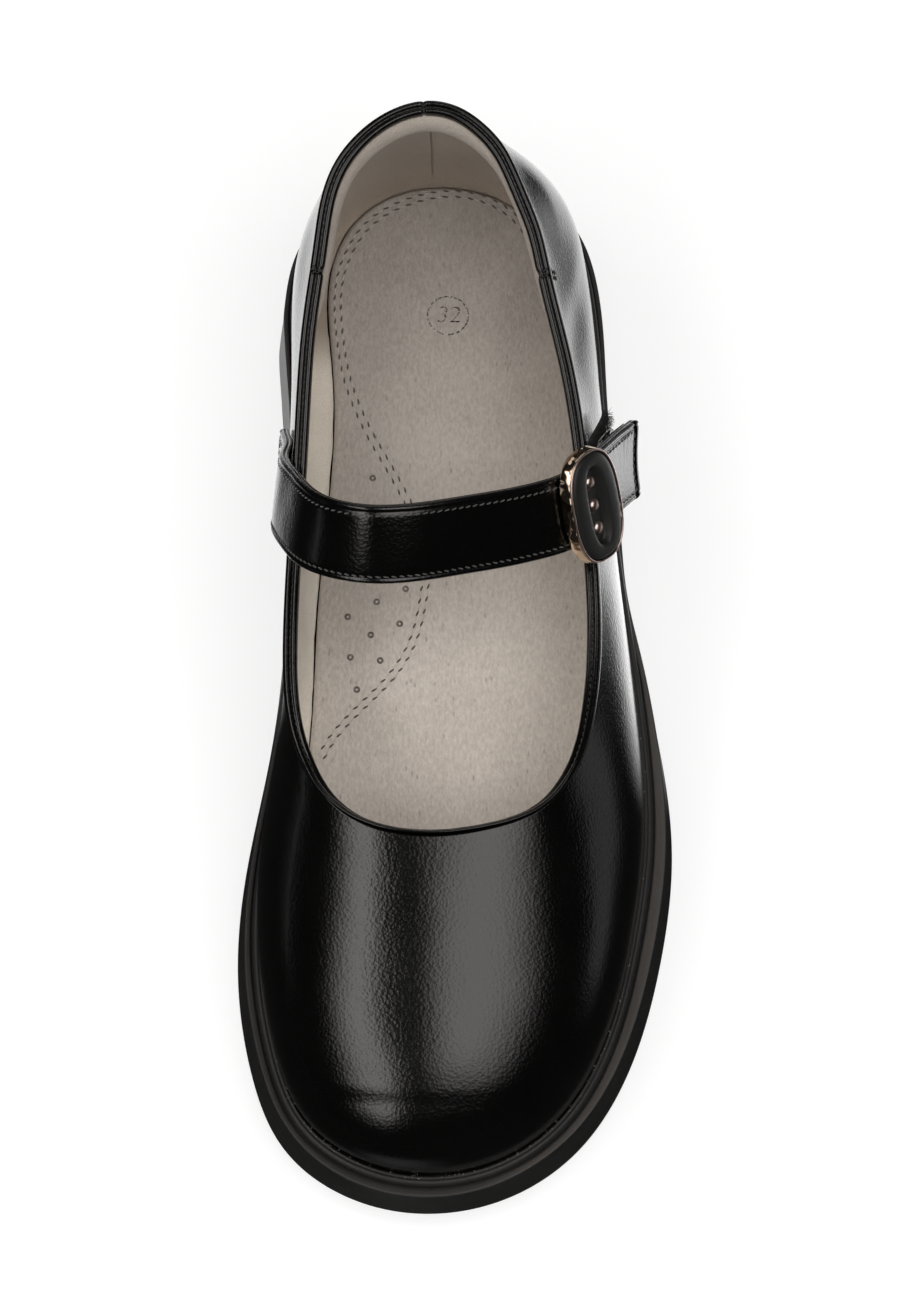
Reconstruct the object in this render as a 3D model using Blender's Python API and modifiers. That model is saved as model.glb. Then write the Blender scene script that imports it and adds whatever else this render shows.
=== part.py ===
"""A child's one-strap shoe for the left foot: moulded sole, lasted upper, strap with a buckle.

Metres, +Z up. The shoe stands on the floor, z = 0, with its toe towards -Y, its heel
towards +Y and its outer side, which carries the buckle, towards +X.

The sole and the upper are lofted through the same stations round the shoe, from the
middle of the back, along the inner side, round the toe and back along the outer side.
At each station the tables give the edge of the tread, the edge of the opening, and the
curve of the wall between them, so the two pieces share one last.
"""

import math

import bmesh
import bpy
import numpy as np
from mathutils import Matrix, Vector
from mathutils.bvhtree import BVHTree

MM = 0.001
GAP = 0.3 * MM  # clearance between two pieces that touch

# ---------------------------------------------------------------- driving sizes
DECK_HEEL = 24.4 * MM  # top of the sole's ledge above the floor, under the heel
DECK_BALL = 15.0 * MM  # and under the ball of the foot
DECK_TOE_RISE = 6.0 * MM  # how far the ledge climbs again towards the toe
TOE_SPRING = 8.2 * MM  # how far the tread curls up at the tip of the toe
ARCH_RISE = 2.4 * MM  # how far the waist stands clear of the floor
HEEL_Y, BALL_Y, TOE_BREAK_Y, TIP_Y = 80 * MM, -40 * MM, -55 * MM, -112 * MM
WAIST_FRONT_Y, WAIST_BACK_Y = -4 * MM, 46 * MM

TREAD_ROUND = 1.5 * MM  # rounding at the foot of the side wall
LEDGE_ROUND = 0.6 * MM  # rounding at the top of the side wall
WALL_FLARE = 2.4 * MM  # how far the side wall leans out towards the floor
FLARE_OUTER = 0.4 * MM  # more on the outer side, less on the inner
FLARE_TOE = 1.4 * MM  # less round the toe
BEAD_WIDE, BEAD_TALL = 1.9 * MM, 1.7 * MM  # the moulded bead that runs round the upper
GROOVE_WIDE, GROOVE_DEEP = 0.8 * MM, 0.6 * MM  # the groove between bead and ledge
SEAT_RISE = 0.2 * MM  # the seat inside the bead, above the ledge

WALL = 2.2 * MM  # leather, counter and lining together
INSOLE_THICK, INSOLE_ROUND = 3.0 * MM, 0.8 * MM
STRAP_WIDE, STRAP_THICK = 16.2 * MM, 2.2 * MM
LOOP_THICK, HOOK_THICK = 1.0 * MM, 1.0 * MM

BUCKLE_LONG, BUCKLE_WIDE, BUCKLE_TALL = 24.2 * MM, 15.4 * MM, 3.0 * MM
BUCKLE_SQUARE = 2.6  # exponent of its oval: 2 is an ellipse, more is squarer
BUCKLE_RIM = 0.8 * MM
EDGE_ROUND = 0.3 * MM
FACE_CROWN = 0.4 * MM  # how far the face stands above its frame
RECESS_LONG, RECESS_WIDE, RECESS_DEEP = 17.4 * MM, 6.2 * MM, 1.4 * MM
STUD_WIDE, STUD_PITCH, STUD_COUNT = 3.4 * MM, 5.0 * MM, 3

AROUND, UPWARD = 72, 12  # segments round the shoe, and from the sole up to the opening
STRAP_SEGMENTS, STRAP_ACROSS = 44, 4
OVAL_SEGMENTS = 40

# ---------------------------------------------------------------- stations, in millimetres
# tread_x, tread_y: the edge of the sole. reach: from there in to the foot of the upper.
# sock: from the foot of the upper in to the edge of the insole.
SOLE_COLUMNS = ("tread_x", "tread_y", "reach", "sock")
SOLE_STATIONS = (
    (-3.5, 114.0, 4.6, 2.6),  # middle of the back
    (-19.5, 110.2, 4.6, 3.0),
    (-31.7, 99.5, 4.8, 4.2),
    (-37.2, 84.0, 5.0, 5.0),  # inner side of the heel
    (-36.4, 62.0, 4.8, 5.2),
    (-35.4, 38.0, 4.2, 4.2),  # inner waist
    (-35.6, 14.0, 3.9, 2.9),
    (-38.6, -14.0, 4.6, 4.2),
    (-43.0, -38.0, 5.3, 4.8),
    (-44.5, -60.0, 5.8, 4.8),  # inner ball
    (-41.5, -81.0, 5.8, 4.8),
    (-34.0, -98.5, 5.6, 4.8),
    (-20.5, -108.7, 5.5, 4.8),
    (-5.5, -111.8, 5.5, 4.8),  # tip of the toe
    (10.5, -108.6, 5.6, 4.8),
    (25.0, -98.6, 6.0, 4.8),
    (36.6, -80.0, 6.7, 4.8),
    (43.2, -57.5, 7.3, 4.8),
    (46.0, -34.0, 7.2, 4.8),  # outer ball
    (44.0, -12.0, 6.2, 4.8),
    (39.4, 12.0, 4.7, 4.6),
    (35.8, 36.0, 4.2, 4.6),  # outer waist
    (33.7, 62.0, 4.5, 4.6),
    (32.0, 84.0, 4.8, 4.6),  # outer side of the heel
    (26.3, 100.5, 4.7, 4.0),
    (13.0, 110.8, 4.6, 3.0),
)
# top: the edge of the opening. Leans are degrees from upright, outwards going up from the
# foot and outwards going down from the opening. Pulls are shares of the straight distance.
UPPER_COLUMNS = ("top_x", "top_y", "top_z", "foot_lean", "foot_pull", "top_lean", "top_pull")
UPPER_STATIONS = (
    (-5.5, 105.3, 73.0, 20, 0.36, 10, 0.38),  # middle of the back
    (-17.3, 101.4, 72.0, 17, 0.36, 9, 0.38),
    (-26.2, 90.8, 68.6, 14, 0.36, 8, 0.38),
    (-29.4, 76.5, 64.4, 18, 0.38, 8, 0.38),
    (-31.8, 59.0, 59.8, 25, 0.40, 6, 0.38),
    (-33.1, 37.0, 54.8, 29, 0.40, 3, 0.38),
    (-34.3, 14.0, 51.1, 18, 0.36, 0, 0.38),
    (-34.8, -8.0, 49.5, 15, 0.36, 8, 0.38),
    (-33.4, -20.5, 49.4, 18, 0.38, 28, 0.36),
    (-30.4, -29.0, 50.4, 15, 0.40, 50, 0.38),
    (-25.6, -36.8, 52.3, 12, 0.40, 64, 0.44),
    (-19.0, -41.7, 53.9, 10, 0.40, 72, 0.48),
    (-12.0, -43.9, 54.8, 8, 0.40, 76, 0.50),
    (-4.5, -44.4, 55.1, 7, 0.40, 78, 0.52),  # middle of the throat
    (3.6, -43.4, 54.9, 7, 0.40, 76, 0.50),
    (11.2, -41.2, 54.0, 8, 0.40, 72, 0.48),
    (17.8, -37.2, 52.4, 9, 0.40, 65, 0.44),
    (22.7, -30.6, 50.4, 9, 0.40, 54, 0.38),
    (26.0, -21.5, 48.8, 8, 0.38, 42, 0.36),
    (27.9, -8.5, 48.0, 7, 0.36, 33, 0.36),
    (28.2, 9.0, 48.7, 8, 0.36, 25, 0.38),
    (26.5, 31.0, 51.9, 14, 0.36, 19, 0.38),
    (22.7, 55.0, 57.5, 15, 0.36, 20, 0.38),
    (17.7, 75.0, 63.6, 13, 0.36, 21, 0.38),
    (14.5, 89.5, 68.2, 14, 0.36, 18, 0.38),
    (5.6, 100.4, 71.7, 17, 0.36, 13, 0.38),
)
# The strap's centre line, from the tab sewn to the inner side, over the instep, to its
# free end. pitch: degrees by which its rear edge rises. skew: how much further its rear
# edge lies towards the outer side than its front edge. An x of None lies on the upper.
STRAP_STATIONS = (
    (None, 40.2, 34.5, 38, 0.0),  # sewn end of the tab
    (None, 37.6, 37.8, 38, 0.0),
    (None, 34.9, 41.2, 38, 0.0),
    (-36.2, 29.7, 47.9, 38, 1.7),
    (-34.4, 22.9, 56.7, 38, 2.2),
    (-31.0, 15.7, 65.9, 38, 2.1),
    (-26.3, 11.1, 71.8, 38, 1.0),
    (-17.9, 8.4, 75.2, 38, 0.0),  # crown
    (-9.0, 9.2, 74.2, 38, 0.0),
    (0.5, 12.1, 70.5, 38, -0.1),
    (10.0, 15.5, 66.1, 38, -0.3),
    (17.0, 18.5, 62.7, 38, -0.6),
    (21.3, 20.8, 60.6, 36, -0.8),
    (24.3, 23.2, 58.9, 33, -0.9),
    (26.8, 25.9, 56.8, 30, -0.9),  # under the buckle
    (29.5, 29.4, 53.4, 28, -0.9),
    (33.1, 34.7, 47.8, 26, -0.8),
    (37.1, 40.1, 41.9, 25, -0.7),  # free end
)
BUCKLE_PLACE = 0.80  # share of the strap's length at the middle of the buckle
HOOK_FROM, HOOK_TO = 0.91, 0.985  # shares of the strap's length that carry the hook strip
HOOK_FRONT, HOOK_REAR = 0.46, 0.97  # and of its width, from the front edge
LOOP_Y, LOOP_DROP = 31.5 * MM, 1.6 * MM  # the loop patch starts this far below the opening
LOOP_LONG, LOOP_WIDE, LOOP_PITCH = 15.0 * MM, 14.0 * MM, 46
MIDDLE_X, MIDDLE_Y = 0.75 * MM, 1.1 * MM  # the middle of the sole, which goes to the origin


# ---------------------------------------------------------------- curves
def cubic(knots, values, places, closed):
    """A curve of continuous curvature through the values at the knots, read at the places."""
    width = np.diff(knots)
    count = len(values)
    bend_of = np.zeros((count, count))
    right = np.zeros(count)
    for i in range(count):
        if not closed and i in (0, count - 1):
            bend_of[i, i] = 1
            continue
        after = (i + 1) % count
        bend_of[i, i - 1] += width[i - 1]
        bend_of[i, i] += 2 * (width[i - 1] + width[i])
        bend_of[i, after] += width[i]
        right[i] = (values[after] - values[i]) / width[i]
        right[i] -= (values[i] - values[i - 1]) / width[i - 1]
    bend = np.linalg.solve(bend_of, 6 * right)
    i = np.clip(np.searchsorted(knots, places, side="right") - 1, 0, len(width) - 1)
    after = (i + 1) % count
    step = places - knots[i]
    slope = (values[after] - values[i]) / width[i]
    slope -= width[i] * (2 * bend[i] + bend[after]) / 6
    curl = (bend[after] - bend[i]) / (6 * width[i])
    return values[i] + step * (slope + step * (bend[i] / 2 + step * curl))


def ease(share):
    """0 below 0, 1 above 1, and a smooth rise between."""
    share = np.clip(share, 0, 1)
    return share * share * (3 - 2 * share)


def deck_z(y):
    """Height of the sole's ledge: high heel, low ball, rising again to the toe."""
    heel = ease((y - BALL_Y) / (HEEL_Y - BALL_Y))
    toe = np.clip((TOE_BREAK_Y - y) / (TOE_BREAK_Y - TIP_Y), 0, None)
    return DECK_BALL + (DECK_HEEL - DECK_BALL) * heel + DECK_TOE_RISE * toe**1.7


def tread_z(y):
    """Height of the tread: flat under heel and forefoot, arched between, curled at the toe."""
    waist = np.clip((y - WAIST_FRONT_Y) / (WAIST_BACK_Y - WAIST_FRONT_Y), 0, 1)
    toe = np.clip((TOE_BREAK_Y - y) / (TOE_BREAK_Y - TIP_Y), 0, None)
    return ARCH_RISE * np.sin(math.pi * waist) ** 2 + TOE_SPRING * toe**1.9


def unit(vectors):
    return vectors / np.linalg.norm(vectors, axis=-1, keepdims=True)


def round_the_shoe():
    """Both tables, read at even steps round the tread: metres, and radians for the leans."""
    rows = {}
    for names, stations in ((SOLE_COLUMNS, SOLE_STATIONS), (UPPER_COLUMNS, UPPER_STATIONS)):
        rows.update(zip(names, np.array(stations, float).T))
    edge = np.column_stack([rows["tread_x"], rows["tread_y"]])
    chords = np.linalg.norm(np.roll(edge, -1, axis=0) - edge, axis=1)
    knots = np.concatenate([[0], np.cumsum(chords)])
    places = knots[-1] * np.arange(AROUND) / AROUND
    loop = {name: cubic(knots, column, places, True) for name, column in rows.items()}
    for name in ("tread_x", "tread_y", "reach", "sock", "top_x", "top_y", "top_z"):
        loop[name] = loop[name] * MM
    for name in ("foot_lean", "top_lean"):
        loop[name] = np.radians(loop[name])
    loop["edge"] = np.column_stack([loop["tread_x"], loop["tread_y"]])
    along = np.roll(loop["edge"], -1, axis=0) - np.roll(loop["edge"], 1, axis=0)
    loop["out"] = unit(np.column_stack([along[:, 1], -along[:, 0]]))
    return loop


# ---------------------------------------------------------------- meshes and materials
def ring(loop, inset, height_of, rise):
    """The tread's edge drawn in by `inset`, at a height that follows `height_of`."""
    flat = loop["edge"] - loop["out"] * np.reshape(inset, (-1, 1))
    return np.column_stack([flat, height_of(flat[:, 1]) + rise])


def strips(rows, columns, closed):
    """Quads between neighbouring rows of a grid of points, whose rows may be closed."""
    faces = []
    for row in range(rows - 1):
        for column in range(columns if closed else columns - 1):
            after = (column + 1) % columns
            low, high = row * columns, (row + 1) * columns
            faces.append((low + column, low + after, high + after, high + column))
    return faces


def rungs(first, count):
    """Quads straight across a closed ring that starts at the middle of the back."""
    faces = []
    for i in range(count // 2):
        quad = (first + i, first + i + 1, first + count - i - 1, first + (count - i) % count)
        faces.append(tuple(dict.fromkeys(quad)))
    return faces


def mesh_object(name, points, faces, material):
    mesh = bpy.data.meshes.new(name)
    mesh.from_pydata([tuple(point) for point in points], [], faces)
    return placed(name, mesh, material)


def placed(name, data, material):
    piece = bpy.data.objects.new(name, data)
    shoe.objects.link(piece)
    data.materials.append(material)
    if piece.type == "MESH":
        data.shade_smooth()
        data.set_sharp_from_angle(angle=math.radians(40))
    return piece


def lofted(name, rings, material):
    """A closed solid through rings round the shoe, closed straight across at both ends."""
    count = len(rings[0])
    last = (len(rings) - 1) * count
    faces = strips(len(rings), count, True)
    faces += rungs(0, count) + rungs(last, count)
    piece = mesh_object(name, np.concatenate(rings), faces, material)
    recalculated(piece.data)
    return piece


def recalculated(mesh):
    work = bmesh.new()
    work.from_mesh(mesh)
    bmesh.ops.recalc_face_normals(work, faces=work.faces)
    work.to_mesh(mesh)
    work.free()


def thickened(piece, thickness, offset):
    solid = piece.modifiers.new("Thickness", "SOLIDIFY")
    solid.thickness = thickness
    solid.offset = offset
    solid.use_even_offset = True
    return piece


def material_of(name, colour, roughness, metallic=0.0):
    material = bpy.data.materials.new(name)
    material.use_nodes = True
    shader = material.node_tree.nodes["Principled BSDF"]
    shader.inputs["Base Color"].default_value = (*colour, 1)
    shader.inputs["Roughness"].default_value = roughness
    shader.inputs["Metallic"].default_value = metallic
    material.diffuse_color = (*colour, 1)
    return material


# ---------------------------------------------------------------- sole, upper and insole
def foot_rise():
    return SEAT_RISE + GAP


def make_sole(loop):
    """A cup sole: flared side wall, ledge, groove, bead, and the seat inside the bead."""
    clear = GAP + (BEAD_TALL - foot_rise()) * np.tan(loop["foot_lean"])
    rim = loop["reach"] - clear
    sideways, endways = loop["out"].T
    flare = WALL_FLARE + FLARE_OUTER * sideways - FLARE_TOE * np.clip(-endways, 0, 1) ** 2
    flare = np.minimum(flare, 0.3 * rim)
    bead = np.minimum(BEAD_WIDE, 0.38 * rim)
    groove = np.minimum(GROOVE_WIDE, 0.16 * rim)
    rings = [
        ring(loop, TREAD_ROUND, tread_z, 0),
        ring(loop, 0.3 * TREAD_ROUND, tread_z, 0.3 * TREAD_ROUND),
        ring(loop, 0, tread_z, TREAD_ROUND),
        ring(loop, flare, deck_z, -LEDGE_ROUND),
        ring(loop, flare + 0.5 * LEDGE_ROUND, deck_z, 0),
        ring(loop, rim - bead - groove, deck_z, 0),
        ring(loop, rim - bead - 0.5 * groove, deck_z, -GROOVE_DEEP),
        ring(loop, rim - bead, deck_z, 0),
        ring(loop, rim - 0.85 * bead, deck_z, 0.75 * BEAD_TALL),
        ring(loop, rim - 0.55 * bead, deck_z, BEAD_TALL),
        ring(loop, rim, deck_z, BEAD_TALL),
        ring(loop, rim, deck_z, SEAT_RISE),
    ]
    return lofted("sole", rings, rubber)


def upper_skin(loop):
    """The outside of the upper, a row of points round the shoe for each step up the wall."""
    foot = ring(loop, loop["reach"], deck_z, foot_rise())
    top = np.column_stack([loop["top_x"], loop["top_y"], loop["top_z"]])
    chord = np.linalg.norm(top - foot, axis=1)
    away = unit(foot[:, :2] - top[:, :2])
    sine, cosine = np.sin(loop["foot_lean"]), np.cos(loop["foot_lean"])
    rise = np.column_stack([loop["out"] * sine[:, None], cosine])
    sine, cosine = np.sin(loop["top_lean"]), np.cos(loop["top_lean"])
    fall = np.column_stack([away * sine[:, None], -cosine])
    low = foot + rise * (chord * loop["foot_pull"])[:, None]
    high = top + fall * (chord * loop["top_pull"])[:, None]
    rows = []
    for step in range(UPWARD + 1):
        t = step / UPWARD
        row = (1 - t) ** 3 * foot + 3 * t * (1 - t) ** 2 * low
        rows.append(row + 3 * t * t * (1 - t) * high + t**3 * top)
    return np.array(rows)


def make_upper(skin):
    """One hollow shell, open at the collar and throat, and underneath over the sole."""
    faces = strips(UPWARD + 1, AROUND, True)
    shell = mesh_object("upper", skin.reshape(-1, 3), faces, leather)
    return thickened(shell, WALL, -1)


def make_insole(loop):
    inset = loop["reach"] + loop["sock"]
    rise = foot_rise()
    rings = [
        ring(loop, inset, deck_z, rise),
        ring(loop, inset, deck_z, rise + INSOLE_THICK - INSOLE_ROUND),
        ring(loop, inset + INSOLE_ROUND, deck_z, rise + INSOLE_THICK),
    ]
    return lofted("insole", rings, sock_leather)


# ---------------------------------------------------------------- strap and closure
def on_upper(tree, y, z, side, height):
    """The point `height` off the outside of the upper that is level with y and z."""
    point, normal, _, _ = tree.ray_cast(Vector((side * 0.1, y, z)), Vector((-side, 0, 0)))
    if normal.x * side < 0:
        normal = -normal
    return point + normal * height


def strap_rows(tree):
    """For each station, the points across the strap's middle surface, front edge first."""
    rows = []
    for x, y, z, pitch, skew in STRAP_STATIONS:
        row = []
        for share in np.linspace(-0.5, 0.5, STRAP_ACROSS + 1):
            aside = share * STRAP_WIDE
            point_y = y * MM + aside * math.cos(math.radians(pitch))
            point_z = z * MM + aside * math.sin(math.radians(pitch))
            if x is None:
                row.append(on_upper(tree, point_y, point_z, -1, GAP + STRAP_THICK / 2))
            else:
                row.append(((x + share * skew) * MM, point_y, point_z))
        rows.append(row)
    return np.array(rows)


def strap_surface(tree, shares):
    """The strap's middle surface at shares of its length: a row across for each share."""
    rows = strap_rows(tree)
    middle = rows[:, STRAP_ACROSS // 2]
    knots = np.concatenate([[0], np.cumsum(np.linalg.norm(np.diff(middle, axis=0), axis=1))])
    places = np.asarray(shares) * knots[-1]
    surface = np.empty((len(places), STRAP_ACROSS + 1, 3))
    for column in range(STRAP_ACROSS + 1):
        for axis in range(3):
            surface[:, column, axis] = cubic(knots, rows[:, column, axis], places, False)
    return surface


def make_strap(tree):
    surface = strap_surface(tree, np.linspace(0, 1, STRAP_SEGMENTS + 1))
    faces = strips(STRAP_SEGMENTS + 1, STRAP_ACROSS + 1, False)
    strap = mesh_object("strap", surface.reshape(-1, 3), faces, leather)
    return thickened(strap, STRAP_THICK, 0)


def make_hook_strip(tree):
    """The hook side of the closure, under the rear half of the strap's free end."""
    steps, across = 6, 4
    surface = strap_surface(tree, np.linspace(HOOK_FROM, HOOK_TO, steps + 1))
    front, rear = surface[:, :1], surface[:, -1:]
    shares = np.linspace(HOOK_FRONT, HOOK_REAR, across + 1).reshape(1, -1, 1)
    surface = front + (rear - front) * shares
    normal = unit(np.cross(np.gradient(surface, axis=0), np.gradient(surface, axis=1)))
    if normal[0, 0, 2] > 0:
        normal = -normal
    surface = surface + normal * (STRAP_THICK / 2 + GAP + HOOK_THICK / 2)
    faces = strips(steps + 1, across + 1, False)
    strip = mesh_object("hook_strip", surface.reshape(-1, 3), faces, fuzz)
    return thickened(strip, HOOK_THICK, 0)


def make_loop_patch(tree, opening):
    """The loop side of the closure, on the upper's outer side, just below the opening."""
    steps, across = 8, 6
    pitch = math.radians(LOOP_PITCH)
    outer_side = opening[opening[:, 0] > 0]
    outer_side = outer_side[np.argsort(outer_side[:, 1])]
    rows = []
    for down in np.linspace(0, LOOP_LONG, steps + 1):
        for aside in np.linspace(-LOOP_WIDE / 2, LOOP_WIDE / 2, across + 1):
            start_z = np.interp(LOOP_Y + aside, outer_side[:, 1], outer_side[:, 2]) - LOOP_DROP
            y = LOOP_Y + aside + down * math.sin(pitch)
            z = start_z - down * math.cos(pitch)
            rows.append(on_upper(tree, y, z, 1, GAP + LOOP_THICK / 2))
    patch = mesh_object("loop_patch", rows, strips(steps + 1, across + 1, False), fuzz)
    return thickened(patch, LOOP_THICK, 0)


# ---------------------------------------------------------------- buckle
def oval(long, wide):
    """A squared oval round the origin, its long axis along Y."""
    points = []
    for i in range(OVAL_SEGMENTS):
        angle = 2 * math.pi * i / OVAL_SEGMENTS
        power = 2 / BUCKLE_SQUARE
        x = math.copysign(abs(math.cos(angle)) ** power, math.cos(angle)) * wide / 2
        y = math.copysign(abs(math.sin(angle)) ** power, math.sin(angle)) * long / 2
        points.append((x, y))
    return points


def plate(name, outlines, thickness, material):
    """A flat plate with rounded edges, from one outline and the holes in it."""
    curve = bpy.data.curves.new(name, "CURVE")
    curve.dimensions = "2D"
    curve.fill_mode = "BOTH"
    curve.extrude = thickness / 2 - EDGE_ROUND
    curve.bevel_depth = EDGE_ROUND
    curve.bevel_resolution = 1
    curve.offset = -EDGE_ROUND
    for outline in outlines:
        line = curve.splines.new("POLY")
        line.points.add(len(outline) - 1)
        line.use_cyclic_u = True
        for point, (x, y) in zip(line.points, outline):
            point.co = (x, y, 0, 1)
    return placed(name, curve, material)


def buckle_place(tree):
    """Where the buckle lies: x along the strap, y towards the heel, z off its outside."""
    surface = strap_surface(tree, [BUCKLE_PLACE - 0.04, BUCKLE_PLACE, BUCKLE_PLACE + 0.04])
    middle = surface[1, STRAP_ACROSS // 2]
    along = Vector(surface[2, STRAP_ACROSS // 2] - surface[0, STRAP_ACROSS // 2]).normalized()
    across = Vector(surface[1, -1] - surface[1, 0])
    across = (across - along * across.dot(along)).normalized()
    outside = along.cross(across)
    turn = Matrix((along, across, outside)).transposed().to_4x4()
    return Matrix.Translation(middle) @ turn


def make_buckle(tree):
    """A rose-gold frame, a black face with a recess, and a row of plain domed studs."""
    place = buckle_place(tree)
    floor = STRAP_THICK / 2 + 2 * GAP
    opening = (BUCKLE_LONG - 2 * BUCKLE_RIM, BUCKLE_WIDE - 2 * BUCKLE_RIM)
    outlines = [oval(BUCKLE_LONG, BUCKLE_WIDE), oval(*opening)]
    frame = plate("buckle_frame", outlines, BUCKLE_TALL, rose_gold)
    frame.matrix_world = place @ Matrix.Translation((0, 0, floor + BUCKLE_TALL / 2))

    inner = [oval(opening[0] - 2 * GAP, opening[1] - 2 * GAP)]
    tall = BUCKLE_TALL + FACE_CROWN
    face = solid_mesh(plate("buckle_face", inner, tall, black_enamel))
    face.matrix_world = place @ Matrix.Translation((0, 0, floor + tall / 2))
    cutter = solid_mesh(plate("recess_cutter", [oval(RECESS_LONG, RECESS_WIDE)], tall, black_enamel))
    cutter.matrix_world = place @ Matrix.Translation((0, 0, floor + 1.5 * tall - RECESS_DEEP))
    shoe.objects.unlink(cutter)
    cutters.objects.link(cutter)
    cutter.hide_render = True
    cutter.display_type = "WIRE"
    cut = face.modifiers.new("Recess", "BOOLEAN")
    cut.operation = "DIFFERENCE"
    cut.object = cutter

    seat = floor + tall - RECESS_DEEP + GAP
    for number in range(STUD_COUNT):
        along = (number - (STUD_COUNT - 1) / 2) * STUD_PITCH
        stud = domed_stud(f"stud_{number + 1}")
        stud.matrix_world = place @ Matrix.Translation((0, along, seat))


def solid_mesh(piece):
    """The same piece as a welded mesh, which a Boolean can cut."""
    graph = bpy.context.evaluated_depsgraph_get()
    name, material = piece.name, piece.data.materials[0]
    mesh = bpy.data.meshes.new_from_object(piece.evaluated_get(graph))
    bpy.data.objects.remove(piece)
    work = bmesh.new()
    work.from_mesh(mesh)
    bmesh.ops.remove_doubles(work, verts=work.verts, dist=1e-6)
    bmesh.ops.recalc_face_normals(work, faces=work.faces)
    work.to_mesh(mesh)
    work.free()
    mesh.materials.clear()
    return placed(name, mesh, material)


def domed_stud(name):
    """The upper half of a flattened ball, standing on its flat side."""
    work = bmesh.new()
    bmesh.ops.create_uvsphere(work, u_segments=16, v_segments=8, radius=STUD_WIDE / 2)
    everything = work.verts[:] + work.edges[:] + work.faces[:]
    cut = bmesh.ops.bisect_plane(
        work, geom=everything, plane_co=(0, 0, 0), plane_no=(0, 0, -1), clear_outer=True, dist=1e-6
    )
    border = [item for item in cut["geom_cut"] if isinstance(item, bmesh.types.BMEdge)]
    bmesh.ops.holes_fill(work, edges=border)
    bmesh.ops.scale(work, verts=work.verts, vec=(1, 1, 0.75))
    bmesh.ops.recalc_face_normals(work, faces=work.faces)
    mesh = bpy.data.meshes.new(name)
    work.to_mesh(mesh)
    work.free()
    return placed(name, mesh, rose_gold)


# ---------------------------------------------------------------- the shoe
for leftover in list(bpy.data.objects):
    bpy.data.objects.remove(leftover)

shoe = bpy.data.collections.new("one_strap_shoe")
cutters = bpy.data.collections.new("cutters")
for collection in (shoe, cutters):
    bpy.context.scene.collection.children.link(collection)

leather = material_of("black_leather", (0.012, 0.012, 0.012), 0.28)
rubber = material_of("black_rubber", (0.03, 0.029, 0.028), 0.6)
sock_leather = material_of("warm_grey_sock", (0.46, 0.41, 0.36), 0.7)
fuzz = material_of("black_fuzz", (0.01, 0.01, 0.01), 0.95)
rose_gold = material_of("rose_gold", (0.75, 0.5, 0.36), 0.18, 1.0)
black_enamel = material_of("black_enamel", (0.02, 0.02, 0.021), 0.42)

last = round_the_shoe()
skin = upper_skin(last)
skin_tree = BVHTree.FromPolygons(
    [Vector(point) for point in skin.reshape(-1, 3)], strips(UPWARD + 1, AROUND, True)
)
make_sole(last)
make_upper(skin)
make_insole(last)
make_strap(skin_tree)
make_hook_strip(skin_tree)
make_loop_patch(skin_tree, skin[-1])
make_buckle(skin_tree)

for piece in bpy.data.objects:
    piece.location -= Vector((MIDDLE_X, MIDDLE_Y, 0))
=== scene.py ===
# %% [markdown]
# # A child's one-strap shoe, left foot
# The shoe stands empty on its sole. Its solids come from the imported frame, and this script
# makes the pieces that are seen: leather, binding, lining, collar pad, insole, strap,
# touch fastener, buckle, stitches and sole. Each piece is laid on the surfaces of its solid,
# so its place and its main sizes come from there.

# %% Frame and sizes
import math

import bmesh
import bpy
import numpy as np
from mathutils import Matrix, Vector, noise
from mathutils.bvhtree import BVHTree


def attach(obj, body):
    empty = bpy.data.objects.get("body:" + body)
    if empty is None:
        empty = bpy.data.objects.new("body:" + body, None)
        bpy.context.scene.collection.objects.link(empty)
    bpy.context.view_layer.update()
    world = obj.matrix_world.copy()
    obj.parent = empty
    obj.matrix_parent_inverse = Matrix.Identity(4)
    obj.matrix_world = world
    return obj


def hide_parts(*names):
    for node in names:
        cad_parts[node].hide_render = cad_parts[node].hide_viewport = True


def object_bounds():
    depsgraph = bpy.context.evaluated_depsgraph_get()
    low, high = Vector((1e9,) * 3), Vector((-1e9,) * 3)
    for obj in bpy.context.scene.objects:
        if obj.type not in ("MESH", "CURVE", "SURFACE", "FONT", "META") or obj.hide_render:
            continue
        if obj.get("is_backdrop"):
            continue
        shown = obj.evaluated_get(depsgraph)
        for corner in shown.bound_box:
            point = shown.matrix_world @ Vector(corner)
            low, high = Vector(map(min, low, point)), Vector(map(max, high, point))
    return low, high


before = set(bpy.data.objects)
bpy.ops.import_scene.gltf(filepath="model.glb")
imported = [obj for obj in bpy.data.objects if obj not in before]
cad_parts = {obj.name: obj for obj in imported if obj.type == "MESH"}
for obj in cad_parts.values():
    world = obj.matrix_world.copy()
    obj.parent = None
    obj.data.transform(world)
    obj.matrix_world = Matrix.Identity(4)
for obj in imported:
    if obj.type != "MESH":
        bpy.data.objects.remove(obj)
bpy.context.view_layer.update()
MM = 0.001

# %% [markdown]
# ## Camera
# A long lens from above and a little in front of the toe, so that the insole, the strap and
# the whole vamp are seen at once. A long lens keeps the sole from looking larger than the
# collar, which is nearer to the camera.

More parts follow.
